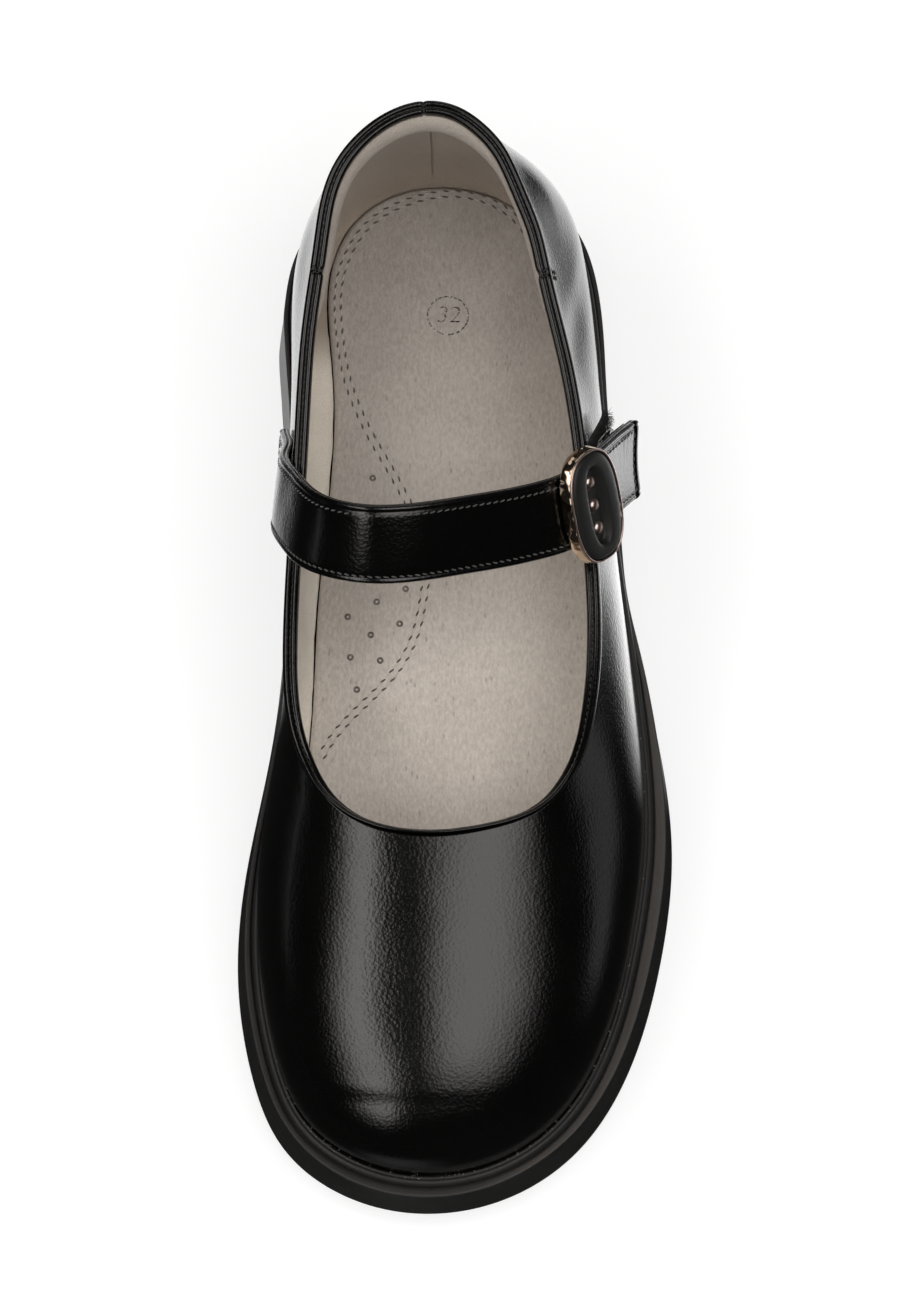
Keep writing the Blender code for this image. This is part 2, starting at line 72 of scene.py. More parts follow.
# %% Camera
EYE = Vector((-20.75, -303.011, 930.75)) * MM
AIM = Vector((-0.75, -1.1, 30.0)) * MM
LEVEL = Vector((0.99975, 0.0, 0.0222))  # what is level in the view: a line that rises a little
LENS, SENSOR = 126.3, 36.0  # mm
camera_data = bpy.data.cameras.new("camera")
camera_data.lens = LENS
camera_data.sensor_width = SENSOR
camera = bpy.data.objects.new("camera", camera_data)
bpy.context.scene.collection.objects.link(camera)
forward = (AIM - EYE).normalized()
rightward = (LEVEL - forward * LEVEL.dot(forward)).normalized()
upward = rightward.cross(forward)
camera.matrix_world = Matrix.Translation(EYE) @ Matrix(
    (rightward, upward, -forward)
).transposed().to_4x4()
bpy.context.scene.camera = camera
print("camera to shoe, mm:", round((AIM - EYE).length / MM))

# %% [markdown]
# ## Shader arithmetic
# A material here is written as sums and products of patterns. A small class wraps one
# output of a node, so that `1 - mask` or `grain * 0.3` adds the Math nodes it needs, and
# one method adds every other kind of node. The short methods after it are the few patterns
# and blends that the finishes below are built from.


# %% Wires
class Wire:
    """One output of a node. Arithmetic on it adds nodes to its material."""

    def __init__(self, tree, socket):
        self.tree = tree
        self.socket = socket

    def node(self, kind, settings=(), sockets=(), output=0):
        made = self.tree.nodes.new(kind)
        for name, value in dict(settings).items():
            setattr(made, name, value)
        for name, value in dict(sockets).items():
            if isinstance(value, Wire):
                self.tree.links.new(value.socket, made.inputs[name])
            else:
                made.inputs[name].default_value = value
        return Wire(self.tree, made.outputs[output])

    def maths(self, operation, first, second):
        return self.node("ShaderNodeMath", {"operation": operation}, {0: first, 1: second})

    def __add__(self, other):
        return self.maths("ADD", self, other)

    def __sub__(self, other):
        return self.maths("SUBTRACT", self, other)

    def __rsub__(self, other):
        return self.maths("SUBTRACT", other, self)

    def __mul__(self, other):
        return self.maths("MULTIPLY", self, other)

    __radd__, __rmul__ = __add__, __mul__

    def noise(self, scale, detail=2.0, roughness=0.5):
        """Noise on this place, about `scale` blotches to a metre."""
        sockets = {"Vector": self, "Scale": scale, "Detail": detail, "Roughness": roughness}
        return self.node("ShaderNodeTexNoise", {}, sockets)

    def cells(self, scale, randomness=1.0):
        """Round cells on this place: 0 in the middle of each, and rising to its border."""
        sockets = {"Vector": self, "Scale": scale, "Randomness": randomness}
        return self.node("ShaderNodeTexVoronoi", {}, sockets)

    def axis(self, number):
        """This place's x, y or z alone, for 0, 1 or 2."""
        return self.node("ShaderNodeSeparateXYZ", {}, {0: self}, number)

    def distance(self, centre):
        """How far this place is from a centre, in metres."""
        settings, sockets = {"operation": "DISTANCE"}, {0: self, 1: centre}
        return self.node("ShaderNodeVectorMath", settings, sockets, 1)

    def band(self, low, high):
        """0 below low, 1 above high, and smooth between."""
        sockets = {"Value": self, "From Min": low, "From Max": high}
        return self.node("ShaderNodeMapRange", {"interpolation_type": "SMOOTHSTEP"}, sockets)

    def stretched(self, x, y, z):
        """This place with its three directions scaled, so that a pattern is drawn out."""
        sockets = {"Vector": self, "Scale": (x, y, z)}
        return self.node("ShaderNodeMapping", {}, sockets)

    def tint(self, first, second):
        """A colour that goes from first to second as this value goes from 0 to 1."""
        settings = {"data_type": "RGBA"}
        sockets = {0: self, 6: as_colour(first), 7: as_colour(second)}
        return self.node("ShaderNodeMix", settings, sockets, 2)


def as_colour(value):
    return value if isinstance(value, Wire) else (*value, 1.0)


def grey(value):
    return (value, value, value)


def finish(name, constants):
    """A new material, the place on the piece as a Wire, and a function that feeds its shader."""
    material = bpy.data.materials.new(name)
    material.use_nodes = True
    tree = material.node_tree
    shader = tree.nodes["Principled BSDF"]
    for socket, value in constants.items():
        shader.inputs[socket].default_value = value
    place = Wire(tree, tree.nodes.new("ShaderNodeTexCoord").outputs["Object"])

    def feed(**wires):
        for socket, wire in wires.items():
            if socket == "relief":
                height, distance = wire
                sockets = {"Height": height, "Distance": distance}
                wire = place.node("ShaderNodeBump", {}, sockets)
                socket = "Normal"
            tree.links.new(wire.socket, shader.inputs[socket.replace("_", " ")])

    return material, place, feed

# %% [markdown]
# ## Light
# Glossy black leather shows almost nothing of its own colour: it shows the lights. Two long
# soft boxes hang over the shoe, one to each side of the camera, with a dark gap between
# them. Each gives the vamp one broad stripe. A box is bright near the gap and fades towards
# its far side and its ends, as a lamp behind cloth does, so the stripes fade too. A third
# light fills in the shadows and isn't mirrored. A fourth, dim and low behind the heel, draws
# the back of the shoe when it is seen from there. Everything else round the shoe is dark,
# apart from the pale floor, which lights the steep sides from below.


# %% Soft boxes
REACH = 1.2  # metres from the shoe to each box
WARM_WHITE = (1.0, 0.96, 0.935)
WATTS = 4  # what gives each square metre of a box a radiance of 1
HEEL_TIP = math.radians(-68)  # how far the heel box is turned down from overhead


def slope(degrees):
    return math.tan(math.radians(degrees))


def soft_box(name, lean, ends, radiance, across_fades=None, along_fades=None):
    """An area light aimed at the shoe. lean is where its two sides are, in degrees from
    upright towards the outer side; ends is how far it reaches past the toe and the heel.
    The fades say between which of these angles it goes from dark to bright and back."""
    tilt = sum(lean) / 2
    half = (max(lean) - min(lean)) / 2
    side = Vector((math.sin(math.radians(tilt)), 0, math.cos(math.radians(tilt))))
    across = Vector((side.z, 0, -side.x))
    front, back = REACH * slope(ends[0]), REACH * slope(ends[1])
    data = bpy.data.lights.new(name, "AREA")
    data.shape = "RECTANGLE"
    data.size = 2 * REACH * slope(half)
    data.size_y = front + back
    data.energy = WATTS * radiance * data.size * data.size_y
    data.color = WARM_WHITE
    if across_fades:
        data.use_nodes = True
        tree = data.node_tree
        spot = Wire(tree, tree.nodes.new("ShaderNodeNewGeometry").outputs["Parametric"])
        x, y = spot.axis(0), spot.axis(1)
        shares = [0.5 + REACH * slope(angle - tilt) / data.size for angle in across_fades]
        glow = x.band(shares[0], shares[1]) * (1 - x.band(shares[2], shares[3]))
        shares = [(front + REACH * slope(angle)) / data.size_y for angle in along_fades]
        glow = glow * y.band(shares[0], shares[1]) * (1 - y.band(shares[2], shares[3]))
        tree.links.new(glow.socket, tree.nodes["Emission"].inputs["Strength"])
    box = bpy.data.objects.new(name, data)
    centre = AIM + side * REACH + Vector((0, (back - front) / 2, 0))
    turn = Matrix((across, Vector((0, 1, 0)), side)).transposed().to_4x4()
    box.matrix_world = Matrix.Translation(centre) @ turn
    box.visible_camera = False
    bpy.context.scene.collection.objects.link(box)
    print(f"{name}: {data.size:.2f} x {data.size_y:.2f} m, {data.energy:.1f} W")
    return box


soft_box(
    "inner_box",
    lean=(-58, -20),
    ends=(54, 26),
    radiance=2.3,
    across_fades=(-57, -32, -28, -20.5),
    along_fades=(-52, -33, 14, 25),
)
soft_box(
    "outer_box",
    lean=(-7.5, 52),
    ends=(50, 26),
    radiance=1.8,
    across_fades=(-7, 13, 24, 52),
    along_fades=(-44, -22, 0, 20),
)
fill_box = soft_box("fill_box", lean=(-38, 40), ends=(62, 8), radiance=0.66)
fill_box.data.color = grey(1)
fill_box.visible_glossy = False
heel_box = soft_box("heel_box", lean=(-18, 18), ends=(14, 14), radiance=0.5)
tip = Matrix.Translation(AIM) @ Matrix.Rotation(HEEL_TIP, 4, "X") @ Matrix.Translation(-AIM)
heel_box.matrix_world = tip @ heel_box.matrix_world

# %% [markdown]
# ## World and floor
# The floor is matt and nearly white. Far from the shoe it gives light of its own, so that it
# fades into the pale background without a horizon. The world looks pale where it is seen
# directly, and stays dark as a source of light, like a studio with black walls. Mirrored in
# the leather, the floor is bright only round the heel and in a few small patches, as if it
# were lit there from below and covered with black card elsewhere.

# %% World
PALE = grey(0.955)
world = bpy.data.worlds.new("studio")
bpy.context.scene.world = world
world.use_nodes = True
world_tree = world.node_tree
rays = world_tree.nodes.new("ShaderNodeLightPath")
seen = Wire(world_tree, rays.outputs["Is Camera Ray"])
mirrored = Wire(world_tree, rays.outputs["Is Glossy Ray"])
world_colour = seen.tint(mirrored.tint(grey(0.16), grey(0.01)), PALE)
world_tree.links.new(world_colour.socket, world_tree.nodes["Background"].inputs["Color"])

# %% Light of the floor where it is mirrored, by its place in metres
HEEL_SPOT, HEEL_FADE = (0.02, 0.075, 0), (0.074, 0.106)
PATCHES = (
    # the middle of a small patch, its bright and its dark radius, and its strength
    ((0.112, 0.062, 0), 0.018, 0.045, 3.0),
    ((0.116, 0.126, 0), 0.008, 0.044, 1.6),
    ((-0.265, -0.011, 0), 0.02, 0.045, 0.5),
    ((-0.018, -0.137, 0), 0.005, 0.026, 0.11),
)
BRIGHTEST = 4.0
floor_paint, floor_place, feed = finish(
    "floor_paint", {"Roughness": 0.9, "Specular IOR Level": 0.1, "Emission Strength": 1.0}
)
floor_x, floor_y = floor_place.axis(0), floor_place.axis(1)
# The glow round the heel is weaker behind it, and stronger on the outer side, where it ends
# close to the shoe. Further out on that side there is a wide faint glow.
behind_heel = floor_y.band(0.045, 0.085) * floor_x.band(-0.01, 0.02)
bright = (1 - floor_place.distance(HEEL_SPOT).band(*HEEL_FADE)) * (1 - 0.4 * behind_heel)
bright = bright * (1 - floor_x.band(0.055, 0.082) * 0.95)
bright = bright * (floor_x.band(-0.03, 0.03) * 0.75 + 1.2)
bright = bright + floor_x.band(0.12, 0.18) * floor_y.band(-0.10, -0.05) * 0.33
for centre, inner, outer, strength in PATCHES:
    bright = bright + (1 - floor_place.distance(centre).band(inner, outer)) * strength
glare = (bright * (1 / BRIGHTEST)).tint(grey(0.008), grey(BRIGHTEST))

# %% Floor
FADE = (0.45, 1.6)  # metres from the shoe, between which the floor turns into background
rays = floor_paint.node_tree.nodes.new("ShaderNodeLightPath")
mirrored = Wire(floor_paint.node_tree, rays.outputs["Is Glossy Ray"])
far = floor_place.distance((0, 0, 0)).band(*FADE)
paint = far.tint((0.45, 0.45, 0.455), grey(0.02))
light = far.tint(grey(0.645), PALE)
feed(Base_Color=mirrored.tint(paint, grey(0)), Emission_Color=mirrored.tint(light, glare))
mesh = bmesh.new()
bmesh.ops.create_circle(mesh, cap_ends=True, segments=96, radius=9.0)
floor_data = bpy.data.meshes.new("floor")
mesh.to_mesh(floor_data)
mesh.free()
floor_data.materials.append(floor_paint)
floor = bpy.data.objects.new("floor", floor_data)
bpy.context.scene.collection.objects.link(floor)
floor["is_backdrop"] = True
bpy.context.scene.view_settings.view_transform = "Standard"
print("floor patches:", len(PATCHES))

# %% [markdown]
# ## Reading the solids
# Each solid is a mesh of small flat triangles. A copy is welded and its triangles are joined
# into quads, which gives back the even grid it was made on. A smooth curve through the rows
# and columns of that grid then gives the true rounded surface, and every visible piece is
# laid on it.


# %% Smooth areas of a solid
def welded_copy(node):
    """A copy of a solid with its corners merged and its triangles joined into quads."""
    mesh = bmesh.new()
    mesh.from_mesh(bpy.data.objects[node].data)
    bmesh.ops.remove_doubles(mesh, verts=mesh.verts, dist=1e-6)
    bmesh.ops.join_triangles(
        mesh,
        faces=mesh.faces,
        angle_face_threshold=math.radians(60),
        angle_shape_threshold=math.radians(80),
        topology_influence=1.0,
    )
    return mesh


def smooth_areas(mesh, sharpest):
    """The areas between edges sharper than `sharpest` degrees, the largest first."""
    limit = math.radians(sharpest)
    sharp = [e for e in mesh.edges if len(e.link_faces) == 2 and e.calc_face_angle() > limit]
    bmesh.ops.split_edges(mesh, edges=sharp)
    mesh.faces.index_update()
    seen = set()
    areas = []
    for first in mesh.faces:
        if first.index in seen:
            continue
        seen.add(first.index)
        area = [first]
        for face in area:
            for edge in face.edges:
                for other in edge.link_faces:
                    if other.index not in seen:
                        seen.add(other.index)
                        area.append(other)
        areas.append(area)
    return sorted(areas, key=lambda faces: -sum(face.calc_area() for face in faces))


# %% [markdown]
# The grid is read by walking over its edges. The lowest border is the first row, and each
# next row is found one edge further from it. Rows start at the middle of the back, so that
# a place round the shoe means the same on the outside, the inside, the insole and the sole.


# %% Rows of points round the shoe
def steps_from(starts):
    """How many edges away each vertex is from the nearest of the starts."""
    steps = {vert: 0 for vert in starts}
    queue = list(starts)
    for vert in queue:
        for edge in vert.link_edges:
            other = edge.other_vert(vert)
            if other not in steps:
                steps[other] = steps[vert] + 1
                queue.append(other)
    return steps


def border_loop(start):
    """The open border through `start`, which it follows towards the inner side first."""
    loop = [start]
    while True:
        nearby = [e.other_vert(loop[-1]) for e in loop[-1].link_edges if len(e.link_faces) == 1]
        fresh = [vert for vert in nearby if vert not in loop]
        if not fresh:
            return loop
        loop.append(min(fresh, key=lambda vert: vert.co.x) if len(loop) == 1 else fresh[0])


def rows_round(verts):
    """Rows round the shoe, from the bottom up. Each starts at the middle of the back."""
    border = [vert for vert in verts if any(len(e.link_faces) == 1 for e in vert.link_edges)]
    loops = []
    while border:
        loops.append(border_loop(max(border, key=lambda vert: vert.co.y)))
        border = [vert for vert in border if vert not in loops[-1]]
    low = min(loops, key=lambda loop: sum(vert.co.z for vert in loop) / len(loop))
    steps = steps_from(low)
    rows = [low]
    for step in range(1, max(steps.values()) + 1):
        row = []
        for vert in rows[-1]:
            nearby = [edge for edge in vert.link_edges if steps[edge.other_vert(vert)] == step]
            row.append(min(nearby, key=lambda edge: edge.calc_length()).other_vert(vert))
        rows.append(row)
    return np.array([[tuple(vert.co) for vert in row] for row in rows])


# %% [markdown]
# A cubic curve runs smoothly through the points of a row, and another through the points of
# a column. Together they give a rounded surface on which any place can be read: v is how
# many rows up it is, and u how many columns round, both with fractions.


# %% Smooth curves and surfaces
def curve_weights(count, places, closed):
    """How much each of `count` even points counts at the places on a smooth curve."""
    places = np.atleast_1d(np.asarray(places, float))
    bend, pull = np.zeros((count, count)), np.zeros((count, count))
    for i in range(count):
        if not closed and i in (0, count - 1):
            bend[i, i] = 1
            continue
        for step, share, force in ((-1, 1, 6), (0, 4, -12), (1, 1, 6)):
            bend[i, (i + step) % count] += share
            pull[i, (i + step) % count] += force
    curl = np.linalg.solve(bend, pull)
    start = np.floor(places).astype(int)
    if not closed:
        start = np.clip(start, 0, count - 2)
    t = (places - start)[:, None]
    first, second, even = start % count, (start + 1) % count, np.eye(count)
    straight = (1 - t) * even[first] + t * even[second]
    first_curl = ((1 - t) ** 3 - (1 - t)) * curl[first]
    return straight + (first_curl + (t**3 - t) * curl[second]) / 6


def ease(share):
    share = np.clip(share, 0, 1)
    return share * share * (3 - 2 * share)


def hump(places, middle, width):
    """1 at the middle and falling smoothly to nothing about two widths away."""
    return np.exp(-(((places - middle) / width) ** 2))


def unit(vectors):
    return vectors / np.linalg.norm(vectors, axis=-1, keepdims=True)


class Surface:
    """A smooth surface through rows of points. v counts the rows, u the points in a row."""

    def __init__(self, rows, closed):
        self.rows = rows
        self.closed = closed

    def weights(self, v, u):
        down = curve_weights(len(self.rows), v, False)
        return down, curve_weights(self.rows.shape[1], u, self.closed)

    def grid(self, v, u):
        down, along = self.weights(v, u)
        return np.einsum("ar,rcx,bc->abx", down, self.rows, along, optimize=True)

    def spots(self, v, u):
        down, along = self.weights(v, u)
        return np.einsum("ar,rcx,ac->ax", down, self.rows, along, optimize=True)

    def normals(self, v, u, spots=False):
        """Unit normals on the grid or at the spots, on the side where u crosses v."""
        read = self.spots if spots else self.grid
        v, u, step = np.atleast_1d(v).astype(float), np.atleast_1d(u).astype(float), 0.02
        down = read(v + step, u) - read(v - step, u)
        along = read(v, u + step) - read(v, u - step)
        return unit(np.cross(along, down))


# %% Outside and inside of the upper
def in_order(faces):
    """The vertices of these faces, in the order of their mesh."""
    return sorted({vert for face in faces for vert in face.verts}, key=lambda vert: vert.index)


upper_solid = welded_copy("upper")
faces_out, faces_in = smooth_areas(upper_solid, 50)[:2]
outside = Surface(rows_round(in_order(faces_out)), True)
inside = Surface(rows_round(in_order(faces_in)), True)
upper_solid.free()
TOP, AROUND = len(outside.rows) - 1, outside.rows.shape[1]

# The back of the collar is up to 0.9 mm fuller than its solid, which is faceted there, and
# the collar's edge leans inwards by up to 2.6 mm along the outer side, to hold the heel.
CORNER_FULLER, FLANK_FULLER, EDGE_LEAN = 0.85, 0.8, 3.2  # mm
level = np.linspace(0, 1, TOP + 1)[:, None]
for surface in (outside, inside):
    x, y = surface.rows[..., 0] / MM, surface.rows[..., 1] / MM
    outer_corner = CORNER_FULLER * hump(x, 19, 11) * hump(y, 101, 14) * ease(level * 1.4)
    inner_flank = FLANK_FULLER * (x < 0) * hump(y, 92, 11) * hump(level, 0.55, 0.4)
    outer_lean = EDGE_LEAN * (x > 0) * hump(y, 89, 9) * ease((level - 0.7) / 0.42)
    surface.rows[..., 0] += (outer_corner - inner_flank - outer_lean) * MM
    surface.rows[..., 1] += outer_corner * MM
print("upper grid:", outside.rows.shape, inside.rows.shape)


def wall(v, u, depth, spots=False):
    """Points in the wall of the upper, `depth` from its outside, as a share of its thickness."""
    outer, inner = (
        surface.spots(v, u) if spots else surface.grid(v, u) for surface in (outside, inside)
    )
    return outer + (inner - outer) * depth

# %% [markdown]
# ## Making a piece
# A piece starts as a flat grid of faces. Its points are then laid on rows of places, and
# where the rows or columns close on themselves their ends are welded. Rings of points could
# be bridged one to the next instead. The grid does it in one step and keeps the rows even,
# which makes for smooth reflections.


# %% Lofting helper
pieces = bpy.data.collections.new("shoe")
bpy.context.scene.collection.children.link(pieces)


def laid_grid(mesh, rows, closed_rows=False, closed_columns=False):
    """Adds a grid of faces whose points are these rows, closed on itself if asked."""
    rows = np.asarray(rows)
    if closed_rows:
        rows = np.concatenate([rows, rows[:1]])
    if closed_columns:
        rows = np.concatenate([rows, rows[:, :1]], axis=1)
    made = bmesh.ops.create_grid(
        mesh, x_segments=rows.shape[1] - 1, y_segments=rows.shape[0] - 1, size=1.0
    )["verts"]
    for vert, point in zip(made, rows.reshape(-1, 3)):
        vert.co = point
    return made


def make_piece(name, mesh, material, slot, *nodes, weld=2e-6):
    """Makes the mesh a piece that stands for these nodes. weld is in metres, 0 for none."""
    if weld:
        bmesh.ops.remove_doubles(mesh, verts=mesh.verts, dist=weld)
    bmesh.ops.recalc_face_normals(mesh, faces=mesh.faces)
    data = bpy.data.meshes.new(name)
    mesh.to_mesh(data)
    mesh.free()
    data.shade_smooth()
    data.materials.append(material)
    piece = bpy.data.objects.new(name, data)
    pieces.objects.link(piece)
    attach(piece, "root")
    if nodes:
        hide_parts(*nodes)
    data.calc_loop_triangles()
    print(f"{name}: {len(data.loop_triangles)} triangles")
    return piece


def round_places(step, fine=(), reach=0.5, small=0.02):
    """Places round the shoe a step apart, and closer together near the fine ones."""
    places = [np.arange(0, AROUND, step)]
    places += [np.arange(middle - reach, middle + reach, small) % AROUND for middle in fine]
    places = np.unique(np.round(np.concatenate(places), 4))
    return places[np.concatenate([[True], np.diff(places) > 0.6 * small])]

# %% [markdown]
# ## Sewing
# A lockstitch shows as a row of short plump threads. Each is a low ball drawn out along the
# seam, turned a little across it, and sunk half way into the leather. One helper walks along
# a path at an even pitch and sets one thread at each step. A real thread that dives in and
# out could be swept along a curve, but most of it would be hidden and it needs far more faces.


# %% Sewing helper
PART_VERTS = 400  # a part this large is added to its piece, and the next one is begun


def walked(path, pitch, start=0.5):
    """Even steps along a path: which share of the way to the next point each one is at."""
    lengths = np.concatenate([[0], np.cumsum(np.linalg.norm(np.diff(path, axis=0), axis=1))])
    places = np.arange(pitch * start, lengths[-1], pitch)
    return np.interp(places, lengths, np.arange(len(path)))


def between(rows, places):
    """Points on the straight lines between the rows."""
    low = np.clip(places.astype(int), 0, len(rows) - 2)
    share = (places - low)[:, None]
    return rows[low] * (1 - share) + rows[low + 1] * share


def add_part(mesh, part):
    """Adds one small mesh to a large one, which is much quicker than making it there."""
    data = bpy.data.meshes.new("part")
    part.to_mesh(data)
    part.free()
    mesh.from_mesh(data)
    bpy.data.meshes.remove(data)


def sew(mesh, path, ups, pitch, long, thick, slant=0.0, rise=0.0, start=0.5):
    """Threads along a path, in mm, each turned by `slant` degrees. ups are the directions
    off the surface at the points of the path."""
    path, ups = np.asarray(path), np.asarray(ups)
    places = walked(path, pitch * MM, start)
    spots, lifts = between(path, places), unit(between(ups, places))
    ways = unit(between(path, places + 0.05) - between(path, places - 0.05))
    part = bmesh.new()
    for spot, lift, way in zip(spots, lifts, ways):
        if len(part.verts) > PART_VERTS:
            add_part(mesh, part)
            part = bmesh.new()
        way = Matrix.Rotation(math.radians(slant), 3, Vector(lift)) @ Vector(way)
        side = Vector(lift).cross(way)
        turn = Matrix((way * long / 2, side * thick / 2, Vector(lift) * thick / 2)).transposed()
        place = Matrix.Translation(Vector(spot + lift * rise * MM)) @ (turn * MM).to_4x4()
        bmesh.ops.create_icosphere(part, subdivisions=1, radius=1.0, matrix=place)
    add_part(mesh, part)
    return len(spots)


# %% Threads
def thread(name, dark, light):
    material, place, feed = finish(name, {"Roughness": 0.5, "Sheen Weight": 0.3})
    twist = place.stretched(1.0, 1.0, 1.6).noise(2800.0, 2.0)
    feed(Base_Color=twist.tint(dark, light), relief=(twist, 0.00008))
    return material


black_thread = thread("black_thread", grey(0.004), grey(0.018))
grey_thread = thread("grey_thread", (0.028, 0.028, 0.027), (0.075, 0.074, 0.072))
# Dark thread for the insole's seam: painted shade of its stitch holes, set between the pale
# stitches.
stitch_shade_thread = thread("stitch_shade_thread", (0.05, 0.04, 0.033), (0.14, 0.12, 0.105))
pale_thread = thread("pale_thread", (0.40, 0.375, 0.34), (0.60, 0.57, 0.53))
print("threads:", black_thread.name, grey_thread.name, stitch_shade_thread.name, pale_thread.name)

# %% [markdown]
# ## Black leather
# Smooth leather with a glossy finish coat. The coat gives sharp pale reflections at the
# edges, and the leather under it a softer, wider sheen, which one glossy layer alone can't
# do. A fine uneven grain, like the skin of an orange, breaks both up a little. Where the
# leather is folded it is stretched, so its grain is flatter.


# %% Leather finishes
COAT = {"IOR": 1.5, "Coat Weight": 0.3, "Coat Roughness": 0.14, "Coat IOR": 1.5}


def leather(name, shine, grain):
    """shine is the roughness on average, and grain how much of the pebbles stands up."""
    material, place, feed = finish(name, COAT)
    cloudy = place.noise(90.0, 3.0)
    pebbles = place.cells(1400.0) * 0.5 + place.noise(2300.0, 3.0, 0.6) * 0.5
    feed(
        Base_Color=cloudy.tint((0.0010, 0.0010, 0.00095), (0.0022, 0.0021, 0.002)),
        Roughness=cloudy * 0.08 + pebbles * 0.05 + (shine - 0.06),
        relief=(pebbles * grain + place.noise(230.0, 2.0) * 0.25, 0.0001),
    )
    return material


black_leather = leather("black_leather", 0.155, 0.8)
black_fold = leather("black_folded_leather", 0.15, 0.5)
print("leathers:", black_leather.name, black_fold.name)

# %% [markdown]
# ## Leather of the upper
# One sheet of leather goes round the last, from under the bead of the sole up to the
# binding. It is about 1 mm thick. The stiffener in the toe ends in a low ridge across the
# cap, the outer quarter has a shallow fold below the collar, and a seam runs down the back.
# They could be bump patterns, but here they are worked into the points, along with small
# waves, so that the long reflections bend over them from every side.

# %% Leather of the upper
SKIN_DEPTH = 0.5  # share of the wall
BACK_SEAM = 0.37  # the seam leans a little towards the inner side
SEAM_DEEP, SEAM_LIPS = 0.35, 0.12  # mm
CAP_RIDGE = (
    # mm behind the line of the ridge, how wide, mm up: ridge, trough and fullness of the cap
    (1.6, 1.2, 0.07), (-0.9, 1.3, -0.13), (-8.5, 5.2, 1.5),
)  # fmt: skip
FOLD = (
    # mm behind the line of the fold, how wide, how high on the shoe, mm up
    (0.0, 7.0, 50.0, -0.55), (13.0, 6.0, 47.0, 0.35),
)  # fmt: skip
skin_u = round_places(0.22, (BACK_SEAM,))
skin_v = np.concatenate([np.linspace(0, TOP - 0.32, 76), np.linspace(TOP - 0.28, TOP - 0.1, 5)])
skin = outside.grid(skin_v, skin_u)
lift = outside.normals(skin_v, skin_u)
core = np.array([0.0, 0.0, 0.03])  # a place inside the shoe
if np.mean(np.sum(lift * (skin - core), axis=-1)) < 0:
    lift = -lift
x, y, z = skin[..., 0] / MM, skin[..., 1] / MM, skin[..., 2] / MM

# %% Ridge, fold, seam and small waves of the leather
behind_ridge = 97.0 - 0.006 * (x + 6) ** 2 + y
relief = sum(up * hump(behind_ridge, middle, wide) for middle, wide, up in CAP_RIDGE)
relief = relief * ease((z - 22) / 12) * (y < -60) * (1 - 0.7 * ease((x + 16) / 18))
behind_fold = (y - 60) + 1.15 * (z - 52)
outer_quarter = (x > 0) * ease((y - 20) / 25)
for middle, wide, level, up in FOLD:
    relief += up * hump(behind_fold, middle, wide) * hump(z, level, 8.0) * outer_quarter
from_seam = np.abs(skin_u - BACK_SEAM)
relief -= SEAM_DEEP * hump(from_seam, 0, 0.055) - SEAM_LIPS * hump(from_seam, 0.16, 0.09)
for row in range(relief.shape[0]):
    for column in range(relief.shape[1]):
        spot = Vector(skin[row, column]) * 45.0
        relief[row, column] += 0.16 * noise.noise(spot) + 0.05 * noise.noise(spot * 2.7)
relief *= ease(skin_v / 1.2)[:, None] * ease((TOP - 0.2 - skin_v) / 0.8)[:, None]
print("relief of the leather, mm:", round(relief.min(), 2), "to", round(relief.max(), 2))
skin_outer = skin + lift * (relief * MM)[..., None]
skin_inner = wall(np.linspace(TOP - 0.1, 0, 18), skin_u, SKIN_DEPTH)
mesh = bmesh.new()
laid_grid(mesh, np.concatenate([skin_outer, skin_inner]), True, True)
make_piece("upper_leather", mesh, black_leather, "upper_leather", "upper")

# %% [markdown]
# ## Topline binding
# A folded strip of thinner leather caps the edge of the opening. It has a ridge on each side
# of a middle groove, where it is sewn through. It is swept round the opening on a rounded
# section; at the throat, where the leather lies flat, its outer side narrows to a thin roll.
# Its ends meet in a small notch at the back. Where the padded collar ends, on each side, the
# strip is pinched by a few extra threads. A bevelled curve could carry the section too, but
# it would be the same all the way round.

# %% Topline binding
BINDING = (
    # mm out from the leather's outside, mm up from its edge, and how much the throat narrows it
    (0.10, -1.9, 1), (0.32, -1.7, 1), (0.42, -1.1, 1), (0.40, -0.5, 1), (0.22, -0.05, 0),
    (-0.15, 0.26, 0), (-0.52, 0.26, 0), (-0.86, -0.04, 0), (-1.06, -0.42, 0), (-1.26, -0.04, 0),
    (-1.60, 0.26, 0), (-2.05, 0.22, 0), (-2.42, -0.15, 0), (-2.60, -0.8, 0), (-2.62, -1.8, 0),
    (-2.56, -2.7, 0), (-2.30, -3.1, 0), (-1.90, -2.6, 0), (-1.60, -1.2, 0), (-0.60, -1.1, 0),
    (-0.25, -1.5, 1),
)  # fmt: skip
NOTCH_Y = 71.0  # mm: where the padded collar ends
GROOVE, GROOVE_UP = -1.06, -0.30  # mm out and up: where the stitches lie


def topline(u):
    """The edge of the opening, and the directions out across the wall and up along it."""
    u = np.atleast_1d(u)
    at = np.full(len(u), float(TOP))
    edge = outside.spots(at, u)
    out = unit(edge - inside.spots(at, u))
    up = unit(edge - outside.spots(at - 0.4, u))
    up = unit(up - out * np.sum(up * out, axis=1, keepdims=True))
    return edge, out, up


edge_u = np.arange(0, AROUND, 0.05)
edge_y = topline(edge_u)[0][:, 1] / MM
inner_notch = max(u for u in edge_u[edge_y > NOTCH_Y] if u < AROUND / 2)
outer_notch = min(u for u in edge_u[edge_y > NOTCH_Y] if u > AROUND / 2)
print("collar ends at", round(float(inner_notch), 1), "and", round(float(outer_notch), 1))


